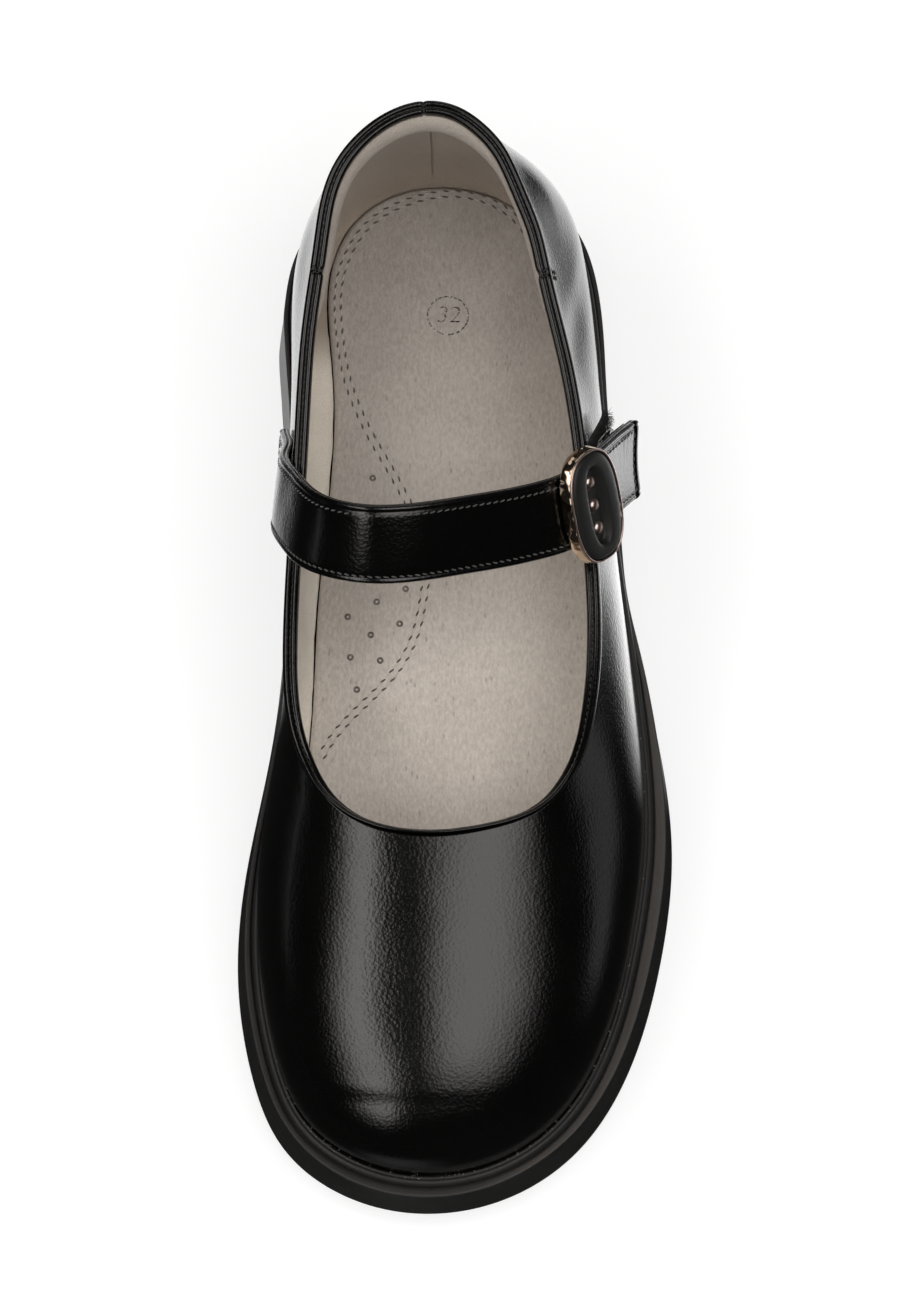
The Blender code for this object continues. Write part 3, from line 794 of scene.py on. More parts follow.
def binding_point(u, across, rise, narrows=0.0):
    """A place on the binding, which is squeezed at the back seam and where the collar ends."""
    u = np.asarray(u, float)
    edge, out, up = topline(u)
    flat = ease((out[:, 2] - 0.35) / 0.5)[:, None]
    rise = np.full((len(u), 1), float(rise)) * (1 - 0.72 * flat * narrows)
    pinch = sum(hump(u, notch, 0.11) for notch in (inner_notch, outer_notch))
    split = hump(u, BACK_SEAM, 0.07)
    rise = rise - (0.55 * split + 0.28 * pinch)[:, None] * (rise > -1.5)
    across = across * (1 - 0.10 * pinch - 0.12 * split)[:, None]
    wobble = np.array([noise.noise(Vector((value * 0.9, across[0, 0] * 0.2, 2.0))) for value in u])
    return edge + out * across * MM + up * (rise + 0.07 * wobble[:, None]) * MM


binding_u = round_places(0.125, (BACK_SEAM, inner_notch, outer_notch), 0.4, 0.02)
mesh = bmesh.new()
laid_grid(mesh, [binding_point(binding_u, *spot) for spot in BINDING], True, True)
make_piece("topline_binding", mesh, black_fold, "upper_leather")

# %% Stitches of the binding
mesh = bmesh.new()
groove_u = np.linspace(0, AROUND, 1441) % AROUND
up = topline(groove_u)[2]
groove = binding_point(groove_u, GROOVE, GROOVE_UP)
count = sew(mesh, groove, up, pitch=1.5, long=1.1, thick=0.32, slant=8)
print("stitches round the opening:", count)
make_piece("binding_stitches", mesh, black_thread, "upper_leather", weld=0)

# %% Tacks at the back seam and where the collar ends
TACKS_OVER = (-0.11, 0.0, 0.12)  # columns aside: the tacks over the edge
TACKS_BELOW = (-2.6, -4.2, -5.4)  # mm up from the edge: the bars below it
mesh = bmesh.new()
for u in (BACK_SEAM, float(inner_notch), float(outer_notch)):
    _, out, up = topline([u])
    for shift in TACKS_OVER:
        steps = np.linspace(0.2, -2.5, 9)
        path = [binding_point([u + shift * (1 + 0.3 * s)], s, 0.18)[0] for s in steps]
        slant = 25 * np.sign(shift)
        sew(mesh, path, [up[0]] * len(path), 1.15, 1.3, 0.34, slant=slant, rise=0.05)
    for rise in TACKS_BELOW:
        path = [binding_point([u + step], 0.12, rise)[0] for step in (-0.14, 0.0, 0.14)]
        sew(mesh, path, [out[0]] * len(path), 1.2, 1.1, 0.36)
make_piece("collar_tacks", mesh, black_thread, "upper_leather", weld=0)

# %% [markdown]
# ## Lining and collar pad
# A cream lining covers the inside, from the binding down to the insole. At its foot it
# curves inwards under the insole's edge, because it is pulled over the last and glued below.
# Round the heel it goes over a strip of foam, so there it swells into a soft rounded collar.
# The foam is thin, so the pad is laid on a rounded section instead of being blown up
# by a cloth simulation.


# %% Rows of the insole, which the lining has to meet
def side_rows(node):
    """Rows round a solid that is closed straight across at the top and at the bottom."""
    mesh = welded_copy(node)
    lids = [
        face
        for face in mesh.faces
        if abs(face.normal.z) > 0.8 and max(e.calc_length() for e in face.edges) > 12 * MM
    ]
    bmesh.ops.delete(mesh, geom=lids, context="FACES")
    mesh.verts.index_update()
    rows = rows_round(list(mesh.verts))
    mesh.free()
    return rows


SOCK_GAP = 1.3  # mm: how far the insole falls short of its solid along the inner side
insole_rows = side_rows("insole")
inner_side = ease((-insole_rows[..., :1] / MM - 8) / 8) * hump(insole_rows[..., 1:2] / MM, 50, 40)
inwards = unit(insole_rows[2:] - insole_rows[1:2])[..., :2]
insole_rows[..., :2] += inwards * inner_side * SOCK_GAP * MM
insole = Surface(insole_rows, True)
print("insole grid:", insole.rows.shape)


# %% Cloth
WEAVE = 2600.0  # threads to a metre
# Round the heel the cloth is darker: a greyer piece of its own, and painted shade deep in the heel
# as well.
HEEL_START = (0.060, 0.074)  # metres: where the heel's own piece of cloth starts


def textile(name, dark, light, heel_piece_and_shade=(1, 1, 1)):
    """Cloth whose colour is multiplied by its last argument round the heel, where it is a separate,
    greyer piece and is darkened further as painted shade deep in the heel."""
    material, place, feed = finish(name, {"Roughness": 0.85, "Sheen Weight": 0.25})
    heel = place.axis(1).band(*HEEL_START)
    threads = place.noise(WEAVE, 4.0, 0.7)
    blotches = place.noise(60.0, 3.0)
    tone = (threads * 0.5 + blotches * 0.5).band(0.3, 0.7)
    heel_dark, heel_light = (tuple(np.multiply(cloth, heel_piece_and_shade)) for cloth in (dark, light))
    feed(
        Base_Color=tone.tint(heel.tint(dark, heel_dark), heel.tint(light, heel_light)),
        relief=(threads + place.cells(WEAVE * 1.3), 0.00012),
    )
    return material


cream_lining = textile(
    "cream_lining", (0.72, 0.66, 0.57), (0.88, 0.82, 0.72), (0.428, 0.386, 0.355)
)
pad_cloth = textile("collar_cloth", (0.34, 0.302, 0.26), (0.42, 0.376, 0.328))
print("cloths:", cream_lining.name, pad_cloth.name)

# %% Lining
FOOT_RISE = 3.6  # mm above the insole where the lining starts to curve in
FOOT_OUT, FOOT_WAVES = 0.32, 0.22  # mm from the insole to the lining's foot, and its waves
FOOT_DOWN = (0.1, 0.6, 1.7)  # mm below the insole's edge: the foot, and the tail under it
LINING_SEAM, SEAM_RISE = 0.22, 0.6  # columns from the middle of the back, and mm
LINING_DEPTH, LINING_BACK = 1.02, 0.56  # shares of the wall: its inner face and its back
lining_u = round_places(0.25, (LINING_SEAM,), 0.2, 0.012)
levels = np.linspace(0, TOP, 120)
heights = inside.grid(levels, lining_u)[..., 2]
insole_side, insole_rim = insole.grid([1, 2], lining_u)
away = unit((insole_side - insole_rim) * (1, 1, 0))


def rows_up(rise):
    """How many rows up each column of the lining is `rise` mm above the insole's edge."""
    edges = insole_rim[:, 2] + rise * MM
    return np.array([np.interp(edge, column, levels) for edge, column in zip(edges, heights.T)])


waves = np.array([noise.noise(Vector((u * 1.7, 0.3, 5.1))) for u in lining_u])[:, None]
foot_v = rows_up(FOOT_RISE)
start = wall(foot_v, lining_u, LINING_DEPTH, spots=True)
foot, *tail = (
    insole_side + away * (FOOT_OUT + FOOT_WAVES * waves) * MM - np.array([0, 0, down * MM])
    for down in FOOT_DOWN
)
corner = wall(rows_up(0.2), lining_u, LINING_DEPTH, spots=True) * 0.8 + (start + foot) * 0.1
seam = hump(lining_u, LINING_SEAM, 0.028)[:, None] * SEAM_RISE * MM
rows = tail[::-1]
for t in np.linspace(0, 1, 9)[:-1]:
    spot = foot * (1 - t) ** 2 + corner * 2 * t * (1 - t) + start * t**2
    rows.append(spot + away * seam * t)
for t in np.linspace(0, 1, 40):
    v = foot_v + (TOP - 0.35 - foot_v) * t
    spot = wall(v, lining_u, LINING_DEPTH, spots=True)
    outer = wall(v, lining_u, 0.8, spots=True)
    rows.append(spot + unit(outer - spot) * seam * ease((0.66 - t) * 9))
rows += [wall([v], lining_u, LINING_BACK)[0] for v in np.linspace(TOP - 0.35, 0.2, 12)]
mesh = bmesh.new()
laid_grid(mesh, rows, True, True)
make_piece("lining", mesh, cream_lining, "sock_leather")

# %% Collar pad
PAD_ACROSS, PAD_MIDDLE, PAD_SWELL = 4.0, -5.6, 2.5  # mm: half its width, its middle, its height
ROW_TALL = 5.0  # mm from one row of the upper to the next, about
shares = (1 - np.cos(np.linspace(0, math.pi, 170))) / 2
pad_from, pad_to = outer_notch - AROUND - 1.6, inner_notch + 1.6
pad_u = pad_from + shares * (pad_to - pad_from)
taper = np.sin(math.pi * shares) ** 0.38
edge, out, up = topline(pad_u)
pad_rows = []
for angle in np.linspace(0, 2 * math.pi, 32, endpoint=False):
    inward = max(math.sin(angle), -0.22) * PAD_SWELL * taper
    drop = PAD_MIDDLE + 2.0 * (1 - taper) + PAD_ACROSS * math.cos(angle) * taper
    base = wall(TOP + drop / ROW_TALL, pad_u % AROUND, 1.0, spots=True)
    pad_rows.append(base - out * (inward * MM)[:, None])
mesh = bmesh.new()
laid_grid(mesh, pad_rows, True, False)
collar_pad = make_piece("collar_pad", mesh, pad_cloth, "sock_leather")

# %% [markdown]
# ## Insole
# Grey pigskin over a thin foam. Its edge is rounded. Two rows of stitches follow the heel and
# then cut across the waist; inside them a soft pad swells under the arch, with a few punched
# holes. A ring of silver foil round the plain size number is pressed into the heel. The pad
# and the sunk seam are part of the insole's mesh, and whatever lies on it finds its height by
# a ray that is cast down on it, so nothing floats above it or sinks in.

# %% Seam of the insole
SEAM = (
    # the middle of the two rows of stitches, mm, from the outer side of the heel
    (16.0, 92.5), (12.5, 98.0), (7.0, 102.2), (0.5, 104.0), (-6.0, 103.6), (-13.0, 101.2),
    (-19.0, 97.0), (-23.0, 91.0), (-25.2, 84.0), (-25.6, 77.0), (-25.0, 70.0), (-23.6, 62.0),
    (-21.2, 55.0), (-18.4, 49.0), (-15.0, 43.0), (-11.2, 36.0), (-8.2, 29.0), (-6.8, 22.0),
    (-7.0, 16.5), (-7.9, 11.0), (-9.6, 5.0), (-13.0, -1.0), (-17.4, -6.0), (-22.0, -10.6),
    (-26.0, -15.4), (-28.4, -19.6),
)  # fmt: skip
seam_points = np.array(SEAM)
seam_line = curve_weights(len(SEAM), np.linspace(0, len(SEAM) - 1, 500), False) @ seam_points


def inside_seam(x, y):
    """How far a place is past the seam towards the arch, in mm, by its nearest point."""
    gaps = np.hypot(x[:, None] - seam_line[:, 0], y[:, None] - seam_line[:, 1])
    nearest = np.argmin(gaps, axis=1)
    way = np.gradient(seam_line, axis=0)[nearest]
    aside = (x - seam_line[nearest, 0]) * way[:, 1] - (y - seam_line[nearest, 1]) * way[:, 0]
    return np.copysign(gaps[np.arange(len(x)), nearest], aside)


# %% Insole body
def lid(row, across, evenness=0.65):
    """Rows straight across the shoe, between points of a closed row that starts at the back."""
    half = len(row) // 2
    left, right = row[: half + 1], np.concatenate([row[:1], row[: half - 1 : -1]])
    shares = (1 - np.cos(np.linspace(0, math.pi, across))) / 2
    shares = evenness * np.linspace(0, 1, across) + (1 - evenness) * shares
    return left[:, None] + (right - left)[:, None] * shares[None, :, None]


def gap_to(border, spots):
    """How far each spot is from a border, in mm, seen from above."""
    gaps = np.linalg.norm(spots[:, None, :2] - border[None, :, :2], axis=2)
    return np.min(gaps, axis=1) / MM


ARCH_SWELL, SEAM_SUNK, EDGE_ROLL = 1.15, 0.22, 2.5  # mm
fine_u = np.arange(0, AROUND, 0.08)
low, side, rim = insole.grid([0, 1, 2], fine_u)
middle = 0.5 * (side + rim) + 0.25 * (side - rim) + np.array([0, 0, 0.12 * MM])
top = lid(rim, 130)
flat = top.reshape(-1, 3)
aside = inside_seam(flat[:, 0] / MM, flat[:, 1] / MM)
arch = hump(flat[:, 1] / MM, 22.0, 26.0)
swell = ARCH_SWELL * arch * ease(aside / 9.0) - SEAM_SUNK * hump(aside, 0, 0.9)
flat[:, 2] += swell * ease(gap_to(rim[::6], flat) / EDGE_ROLL) * MM
mesh = bmesh.new()
laid_grid(mesh, [low, side, middle, rim], False, True)
laid_grid(mesh, top)
laid_grid(mesh, lid(low, 3))
print("arch pad stands, mm:", round(float(swell.max()), 1))


# %% Pigskin
def pigskin():
    """Mottled leather with short pores, marked by small dark spots. It goes from painted shade at
    the heel to painted light at the toe.
    """
    material, place, feed = finish("grey_pigskin", {"Roughness": 0.72, "Sheen Weight": 0.1})
    blotches = place.noise(35.0, 4.0, 0.6)
    drawn = place.stretched(1.0, 0.4, 1.0)
    pores = drawn.cells(760.0).band(0.08, 0.24)
    fine = drawn.noise(1700.0, 5.0, 0.8)
    # Painted shade at the heel and painted light on the forepart: the colour gets paler towards the
    # toe.
    lit_toward_toe = 1 - place.axis(1).band(-0.04, 0.09)
    colour = (blotches * 0.3 + fine * 0.7).band(0.32, 0.68)
    shaded_heel_tone = colour.tint((0.285, 0.255, 0.228), (0.44, 0.40, 0.36))
    lit_toe_tone = colour.tint((0.485, 0.436, 0.388), (0.718, 0.664, 0.606))
    dark = (1 - pores) * drawn.noise(300.0, 2.0).band(0.46, 0.6) * 0.45
    feed(
        Base_Color=dark.tint(lit_toward_toe.tint(shaded_heel_tone, lit_toe_tone), (0.20, 0.17, 0.15)),
        relief=(pores * 0.5 + fine * 0.9, 0.00014),
    )
    return material


grey_pigskin = pigskin()
sock = make_piece("insole_sock", mesh, grey_pigskin, "sock_leather", "insole")
sock_tree = BVHTree.FromObject(sock, bpy.context.evaluated_depsgraph_get())


def on_sock(x, y, rise=0.0):
    """A place on the insole's top and the direction off it, from its place seen from above."""
    spot, normal, _, _ = sock_tree.ray_cast(Vector((x * MM, y * MM, 0.06)), Vector((0, 0, -1)))
    return np.array(spot + normal * rise * MM), np.array(normal)


# %% Stitches of the insole
SEAM_GAP, SEAM_PITCH = 1.35, 2.7  # mm
# The dark dashes are painted shade: they stand for the stitch holes and the short shadows between
# the pale stitches.
STITCH_SHADE = {"long": 1.6, "thick": 0.5, "slant": -14, "rise": -0.04}  # mm and degrees
RAISED = {"long": 1.3, "thick": 0.3, "slant": -6, "rise": -0.02}
mesh, pale = bmesh.new(), bmesh.new()
way = unit(np.gradient(seam_line, axis=0))
for number, offset in enumerate((-SEAM_GAP / 2, SEAM_GAP / 2)):
    line = seam_line + np.column_stack([way[:, 1], -way[:, 0]]) * offset
    path, ups = zip(*(on_sock(x, y) for x, y in line))
    count = sew(mesh, path, ups, SEAM_PITCH, **STITCH_SHADE, start=0.5 + 0.5 * number)
    sew(pale, path, ups, SEAM_PITCH, **RAISED, start=1.0 + 0.5 * number)
    print("insole stitches in a row:", count)
make_piece("insole_stitch_shades", mesh, stitch_shade_thread, "sock_leather", weld=0)
make_piece("insole_pale_stitches", pale, pale_thread, "sock_leather", weld=0)

# %% Punched holes
PUNCH = ((0.74, -0.12), (0.72, 0.02), (0.62, 0.05), (0.44, 0.01), (0.05, -0.01))  # mm: out, up
PUNCHED = (
    # mm across and along
    (-18.0, 40.0), (-11.0, 16.4), (-17.0, 13.6), (-23.0, 10.4), (-12.2, 9.0), (-18.2, 6.6),
    (-22.4, 1.8), (-16.2, 1.2), (-21.0, -5.0),
)  # fmt: skip
mesh = bmesh.new()
ring_of = np.linspace(0, 2 * math.pi, 18, endpoint=False)
for x, y in PUNCHED:
    rows = []
    for radius, rise in PUNCH:
        across, along = x + radius * np.cos(ring_of), y + radius * np.sin(ring_of)
        rows.append([on_sock(*spot, rise)[0] for spot in zip(across, along)])
    laid_grid(mesh, rows, True, True)


# The holes are flat rings on the insole; their dark colour is painted shade standing for the depth
# of the holes.
def painted_hole_shade():
    material, place, feed = finish("painted_hole_shade", {"Roughness": 0.9})
    mottled = place.noise(1500.0, 3.0, 0.7).band(0.35, 0.65)
    feed(
        Base_Color=mottled.tint((0.10, 0.085, 0.075), (0.23, 0.20, 0.18)),
        relief=(mottled, 0.00012),
    )
    return material


make_piece("punched_holes", mesh, painted_hole_shade(), "sock_leather")

# %% Ring of foil
FOIL_THICK, FOIL_WIDE, RING_RADIUS = 0.05, 0.30, 4.3  # mm
RING_X, RING_Y, NUMBER_TALL = -2.3, 76.0, 3.9
TYPE_TO_FIGURE = 1.38  # how much larger the type size is than its figures


def silver_foil():
    material, place, feed = finish("silver_foil", {"Metallic": 1.0})
    crumple = place.noise(1400.0, 3.0, 0.6)
    feed(
        Base_Color=crumple.band(0.4, 0.62).tint((0.16, 0.15, 0.14), (0.95, 0.94, 0.92)),
        Roughness=crumple * 0.3 + 0.1,
        relief=(crumple, 0.0006),
    )
    return material


def pressed_down(mesh, rise):
    """Lays a flat mesh on the insole, `rise` mm up."""
    for vert in mesh.verts:
        spot, normal = on_sock(vert.co.x / MM, vert.co.y / MM)
        vert.co = Vector(spot + normal * (rise * MM + vert.co.z))


RING_SECTION = ((-0.5, -0.05), (-0.4, 1.0), (0.4, 1.0), (0.5, -0.05))  # shares out and up
foil = silver_foil()
mesh = bmesh.new()
angles = np.linspace(0, 2 * math.pi, 120, endpoint=False)
rows = []
for radius, rise in RING_SECTION:
    reach = (RING_RADIUS + radius * FOIL_WIDE * (1 + 0.3 * np.sin(angles * 23))) * MM
    rows.append(np.column_stack([
        RING_X * MM + reach * np.cos(angles), RING_Y * MM + reach * np.sin(angles),
        np.full(len(angles), rise * FOIL_THICK * MM),
    ]))  # fmt: skip
laid_grid(mesh, rows, True, True)
pressed_down(mesh, 0.0)
make_piece("size_ring", mesh, foil, "sock_leather")

# %% Size number
letters = bpy.data.curves.new("size_number", "FONT")
letters.body = "32"
letters.size = NUMBER_TALL * TYPE_TO_FIGURE * MM
letters.align_x, letters.align_y = "CENTER", "CENTER"
letters.extrude = FOIL_THICK / 2 * MM
letters.offset = -0.11 * MM
letters.shear = 0.15
text = bpy.data.objects.new("size_number_text", letters)
bpy.context.scene.collection.objects.link(text)
graph = bpy.context.evaluated_depsgraph_get()
flat_text = bpy.data.meshes.new_from_object(text.evaluated_get(graph))
bpy.data.objects.remove(text)
mesh = bmesh.new()
mesh.from_mesh(flat_text)
bpy.data.meshes.remove(flat_text)
bmesh.ops.translate(mesh, verts=mesh.verts, vec=(RING_X * MM, RING_Y * MM, 0))
pressed_down(mesh, FOIL_THICK / 2)
make_piece("size_number", mesh, foil, "sock_leather", weld=1e-7)

# %% [markdown]
# ## Strap
# Leather folded over a stiffener and closed with a lining: rounded edges, a crease beside
# each edge where the fold is sewn down, and a hollowed free end with rounded corners. One
# section is swept along the upper surface of the strap's solid, and the end is shortened
# by a different amount at each point of the section. A box with bevelled edges could be bent
# to the same line, but it would have neither the creases nor the twist of the solid.


# %% Surface of the strap
def rows_along(verts):
    """Rows across a strip, from its inner end to its outer end. Each starts at the front."""
    corners = [vert for vert in verts if len(vert.link_faces) == 1]
    corner = min(sorted(corners, key=lambda vert: vert.co.x)[:2], key=lambda vert: vert.co.y)
    front = steps_from([corner])
    other = min((vert for vert in corners if vert is not corner), key=lambda vert: front[vert])
    rear = steps_from([other])
    wide = front[other]
    long = max(front[vert] + rear[vert] - wide for vert in verts) // 2
    rows = np.zeros((long + 1, wide + 1, 3))
    for vert in verts:
        along = (front[vert] + rear[vert] - wide) // 2
        across = (front[vert] - rear[vert] + wide) // 2
        rows[along, across] = vert.co
    return rows


strap_solid = welded_copy("strap")
areas = smooth_areas(strap_solid, 50)[:2]
heart = Vector((0, 15, 45)) * MM  # a place in the hollow of the shoe, under the strap
areas.sort(key=lambda faces: -sum(f.normal.dot(f.calc_center_median() - heart) for f in faces))
strap_top = Surface(rows_along(in_order(areas[0])), False)
strap_solid.free()
LONG, WIDE = len(strap_top.rows) - 1, strap_top.rows.shape[1] - 1
print("strap grid:", strap_top.rows.shape)
STRAP_HALF, STRAP_THICK = 8.1, 2.2  # mm
sample = strap_top.normals([LONG / 2], [WIDE / 2])[0, 0]
outward = strap_top.grid([LONG / 2], [WIDE / 2])[0, 0] - np.array(heart)
STRAP_SIGN = 1.0 if np.dot(sample, outward) > 0 else -1.0
middle_line = strap_top.grid(np.linspace(0, LONG, 400), [WIDE / 2])[:, 0]
strap_length = np.linalg.norm(np.diff(middle_line, axis=0), axis=1).sum() / MM
print("strap length, mm:", round(float(strap_length), 1))


def on_strap(along, across, height):
    """Places on the strap: along from 0 to 1, across in mm from its middle, height in mm
    from the middle of its thickness. With them come the directions off its top."""
    v = np.clip(np.asarray(along, float) * LONG, 0, LONG)
    u = (np.asarray(across, float) / STRAP_HALF + 1) / 2 * WIDE
    v, u, height = np.broadcast_arrays(v, u, np.asarray(height, float))
    shape = v.shape
    point = strap_top.spots(v.ravel(), u.ravel())
    normal = STRAP_SIGN * strap_top.normals(v.ravel(), u.ravel(), spots=True)
    moved = point + normal * ((height.ravel() - STRAP_THICK / 2) * MM)[:, None]
    return moved.reshape(*shape, 3), normal.reshape(*shape, 3)


# %% Section and end of the strap
HALF_SECTION = (
    # mm across from the middle, mm up from the middle of the thickness; from the top's middle,
    # past the crease, over the rolled edge and the joint with the lining, to the underside
    (0.0, 1.13), (2.0, 1.12), (4.0, 1.10), (5.60, 1.06), (6.30, 1.00), (6.72, 0.88),
    (6.92, 0.80), (7.10, 0.94), (7.36, 1.02), (7.66, 0.98), (7.92, 0.76), (8.06, 0.42),
    (8.10, 0.05), (7.98, -0.12), (7.82, -0.20), (7.96, -0.30), (8.02, -0.60), (7.88, -0.92),
    (7.50, -1.08), (4.0, -1.10), (0.0, -1.10),
)  # fmt: skip
section = np.array(HALF_SECTION)
section = np.concatenate([section, section[-2:0:-1] * (-1, 1)])
CORNER, END_HOLLOW = 2.0, 1.9  # mm: rounded corners and hollow of the free end


def strap_end(across):
    """How far the free end falls short of its full length: rounded corners, hollow middle."""
    aside = np.abs(np.asarray(across, float))
    past = np.clip(aside - (STRAP_HALF - CORNER), 0, CORNER)
    corner = CORNER - np.sqrt(np.maximum(CORNER**2 - past**2, 0))
    return corner + END_HOLLOW * (1 - (aside / STRAP_HALF) ** 2)


print("strap section:", len(section), "points")

# %% Strap
END_ROLL = (
    # mm from the free end, how wide, mm up: the roll at its edge, and the crease behind it
    (0.75, 0.6, 0.14), (1.75, 0.5, -0.26),
)  # fmt: skip
START_CREASE = (1.6, 0.4, -0.2)  # the same from the other end
END_CAP = 0.15  # mm: how far the rounded end stands out past the section
stations = np.concatenate([np.linspace(0, 0.9, 220), np.linspace(0.903, 1, 70)])
short = strap_end(section[:, 0]) / strap_length
along = stations[:, None] - short[None, :] * ease((stations - 0.86) / 0.14)[:, None]
before_end = (1 - stations) * strap_length
roll = sum(up * hump(before_end, middle, wide) for middle, wide, up in END_ROLL)
middle, wide, up = START_CREASE
roll += up * hump(stations * strap_length, middle, wide)
height = section[None, :, 1] + roll[:, None] * (section[None, :, 1] > 0.5)
for row, share in enumerate(stations):
    for column, (across, rise) in enumerate(section):
        if rise > 0.7:
            spot = Vector((share * strap_length * 0.16, across * 0.10, 7.0))
            crease = noise.noise(Vector((share * strap_length * 0.9, across * 0.07, 3.0)))
            height[row, column] += 0.10 * noise.noise(spot) + 0.012 * crease
strap_rows, _ = on_strap(along, section[None, :, 0], height)
first, _ = on_strap(0.0, section[:, 0] * 0.97, 0.0)
past_end = along[-1] + END_CAP / strap_length
blunt, _ = on_strap(past_end, section[:, 0] * 0.985, height[-1] * 0.6)
last_in, _ = on_strap(past_end, section[:, 0] * 0.98, 0.0)
mesh = bmesh.new()
laid_grid(mesh, np.concatenate([[first], strap_rows, [blunt, last_in]]), False, True)
make_piece("strap_leather", mesh, black_leather, "upper_leather", "strap")

# %% Stitches of the strap
STRAP_PITCH, ROW_REAR, ROW_FRONT, END_ROW = 1.6, 6.15, -6.5, 1.9  # mm
CROSS_ROWS = (0.022, 0.075)  # share of the strap: the rows across its fixed end
mesh = bmesh.new()
shares = np.linspace(0.012, 1, 700)
for row in (ROW_FRONT, ROW_REAR):
    stop = 1 - (strap_end(row) + END_ROW) / strap_length
    line, ups = on_strap(shares * stop, row, 1.03)
    count = sew(mesh, line, ups, STRAP_PITCH, long=1.3, thick=0.36, slant=14 * np.sign(row))
    print("strap stitches in a row:", count)
places = np.linspace(ROW_FRONT, ROW_REAR, 40)
line, ups = on_strap(1 - (strap_end(places) + END_ROW) / strap_length, places, 1.0)
sew(mesh, line, ups, STRAP_PITCH, 1.35, 0.42, slant=14)
for share in CROSS_ROWS:
    line, ups = on_strap(share, places, 1.03)
    sew(mesh, line, ups, STRAP_PITCH, 1.35, 0.42, slant=14)
make_piece("strap_stitches", mesh, grey_thread, "upper_leather", weld=0)

# %% [markdown]
# ## Touch fastener
# Under the rear half of the strap's free end is a strip with fine hooks. It grips a patch of
# loops on the quarter, and lifts off it outwards when the strap is pulled open. Both are a
# woven tape with rolled edges. The loops are brushed and stand up as a short black fuzz, with
# rows of grey lint caught in it. The lower rear corner of their tape has come a little loose.
# Hair could be grown for the fuzz. Small cones joined in one mesh look the same at this
# size, and stay as they are when the shoe is used somewhere else.


# %% Where the two tapes lie
HOOK_ALONG, HOOK_ACROSS = (0.911, 0.984), (-0.6, 7.5)  # share of the strap, mm from its middle
TAPE_GAP, TAPE_THICK = 0.3, 1.0  # mm
LOOP_LIFT = 1.3  # mm: how far the loose corner of the loop tape stands up
LOOP_LONGER = 1.05  # how much longer the loop tape is than its solid


def on_hook(along, across, height):
    """A place on the hook tape, from two shares and a height in mm off its middle."""
    share = HOOK_ALONG[0] + (HOOK_ALONG[1] - HOOK_ALONG[0]) * along
    aside = HOOK_ACROSS[0] + (HOOK_ACROSS[1] - HOOK_ACROSS[0]) * across
    return on_strap(share, aside, -(STRAP_THICK + TAPE_THICK) / 2 - TAPE_GAP - height)[0]


def pad_corners(node):
    """The four corners of a thin pad, half way through it, in order round it."""
    solid = welded_copy(node)
    ends = [np.array(vert.co) for vert in solid.verts if len(vert.link_edges) == 3]
    solid.free()
    middles = []
    while ends:
        end = ends.pop()
        twin = min(range(len(ends)), key=lambda other: np.linalg.norm(ends[other] - end))
        middles.append((end + ends.pop(twin)) / 2)
    centre = np.mean(middles, axis=0)
    return sorted(middles, key=lambda spot: math.atan2(spot[2] - centre[2], spot[1] - centre[1]))


side_v, side_u = np.linspace(0, TOP, 150), np.arange(AROUND / 2, AROUND, 0.05)
side_spots = outside.grid(side_v, side_u)
loop_places = []
for corner in pad_corners("loop_patch"):
    nearest = np.argmin(np.linalg.norm(side_spots - corner, axis=-1))
    row, column = np.unravel_index(nearest, side_spots.shape[:2])
    loop_places.append((side_v[row], side_u[column]))
loop_places = np.array(loop_places)
print("loop tape corners:", np.round(loop_places, 1).tolist())
side_sign = np.sign(outside.normals([TOP / 2], [AROUND * 0.75])[0, 0, 0])


def on_loop(along, across, height):
    """The same for the loop tape, which follows the outer side of the upper. along goes
    rearwards and across upwards, and the lower rear corner stands up."""
    along, across, height = (
        array.ravel()[:, None] for array in np.broadcast_arrays(along, across, height)
    )
    height = height + LOOP_LIFT * ease(along / 0.6 - 0.67) * ease(1.2 - across)
    along = along * LOOP_LONGER
    first, second, third, fourth = loop_places
    place = (first * (1 - along) + second * along) * (1 - across)
    place = place + (fourth * (1 - along) + third * along) * across
    spots = outside.spots(place[:, 0], place[:, 1])
    off = outside.normals(place[:, 0], place[:, 1], spots=True) * side_sign
    return spots + off * (TAPE_GAP + TAPE_THICK / 2 + height) * MM


# %% Tapes
def tape(name, node, place, material):
    """A woven tape with rolled edges, laid by a function such as on_hook."""
    shares = np.linspace(0, 1, 40)
    along, across = np.meshgrid(shares, shares, indexing="ij")
    rim = np.minimum(np.sin(math.pi * along), np.sin(math.pi * across))
    crown = 0.45 * ease(rim / 0.14) + 0.05 * ease(rim / 0.5) - 0.05
    top = place(along, across, crown).reshape(*rim.shape, 3)
    foot = place(along, across, np.full_like(rim, -0.35)).reshape(*rim.shape, 3)
    mesh = bmesh.new()
    laid_grid(mesh, top)
    laid_grid(mesh, foot)
    sides = [
        np.concatenate([grid[0], grid[1:, -1], grid[-1, -2::-1], grid[-2:0:-1, 0]])
        for grid in (top, foot)
    ]
    laid_grid(mesh, sides, False, True)
    make_piece(name, mesh, material, "closure_fabric", node)


def woven(name, dark, light):
    material, place, feed = finish(name, {"Roughness": 0.9, "Sheen Weight": 0.05})
    weave = place.cells(1300.0, randomness=0.4)
    blotches = place.noise(500.0, 3.0, 0.7)
    feed(
        Base_Color=(weave * 0.5 + blotches * 0.5).band(0.2, 0.7).tint(dark, light),
        relief=(weave, 0.0003),
    )
    return material


black_tape = woven("black_tape", grey(0.002), grey(0.010))
fuzz_fibre = woven("black_fibre", grey(0.003), grey(0.018))
lint_fibre = woven("grey_lint", (0.40, 0.40, 0.39), (0.75, 0.74, 0.72))
tape("hook_tape", "hook_strip", on_hook, black_tape)
tape("loop_tape", "loop_patch", on_loop, black_tape)


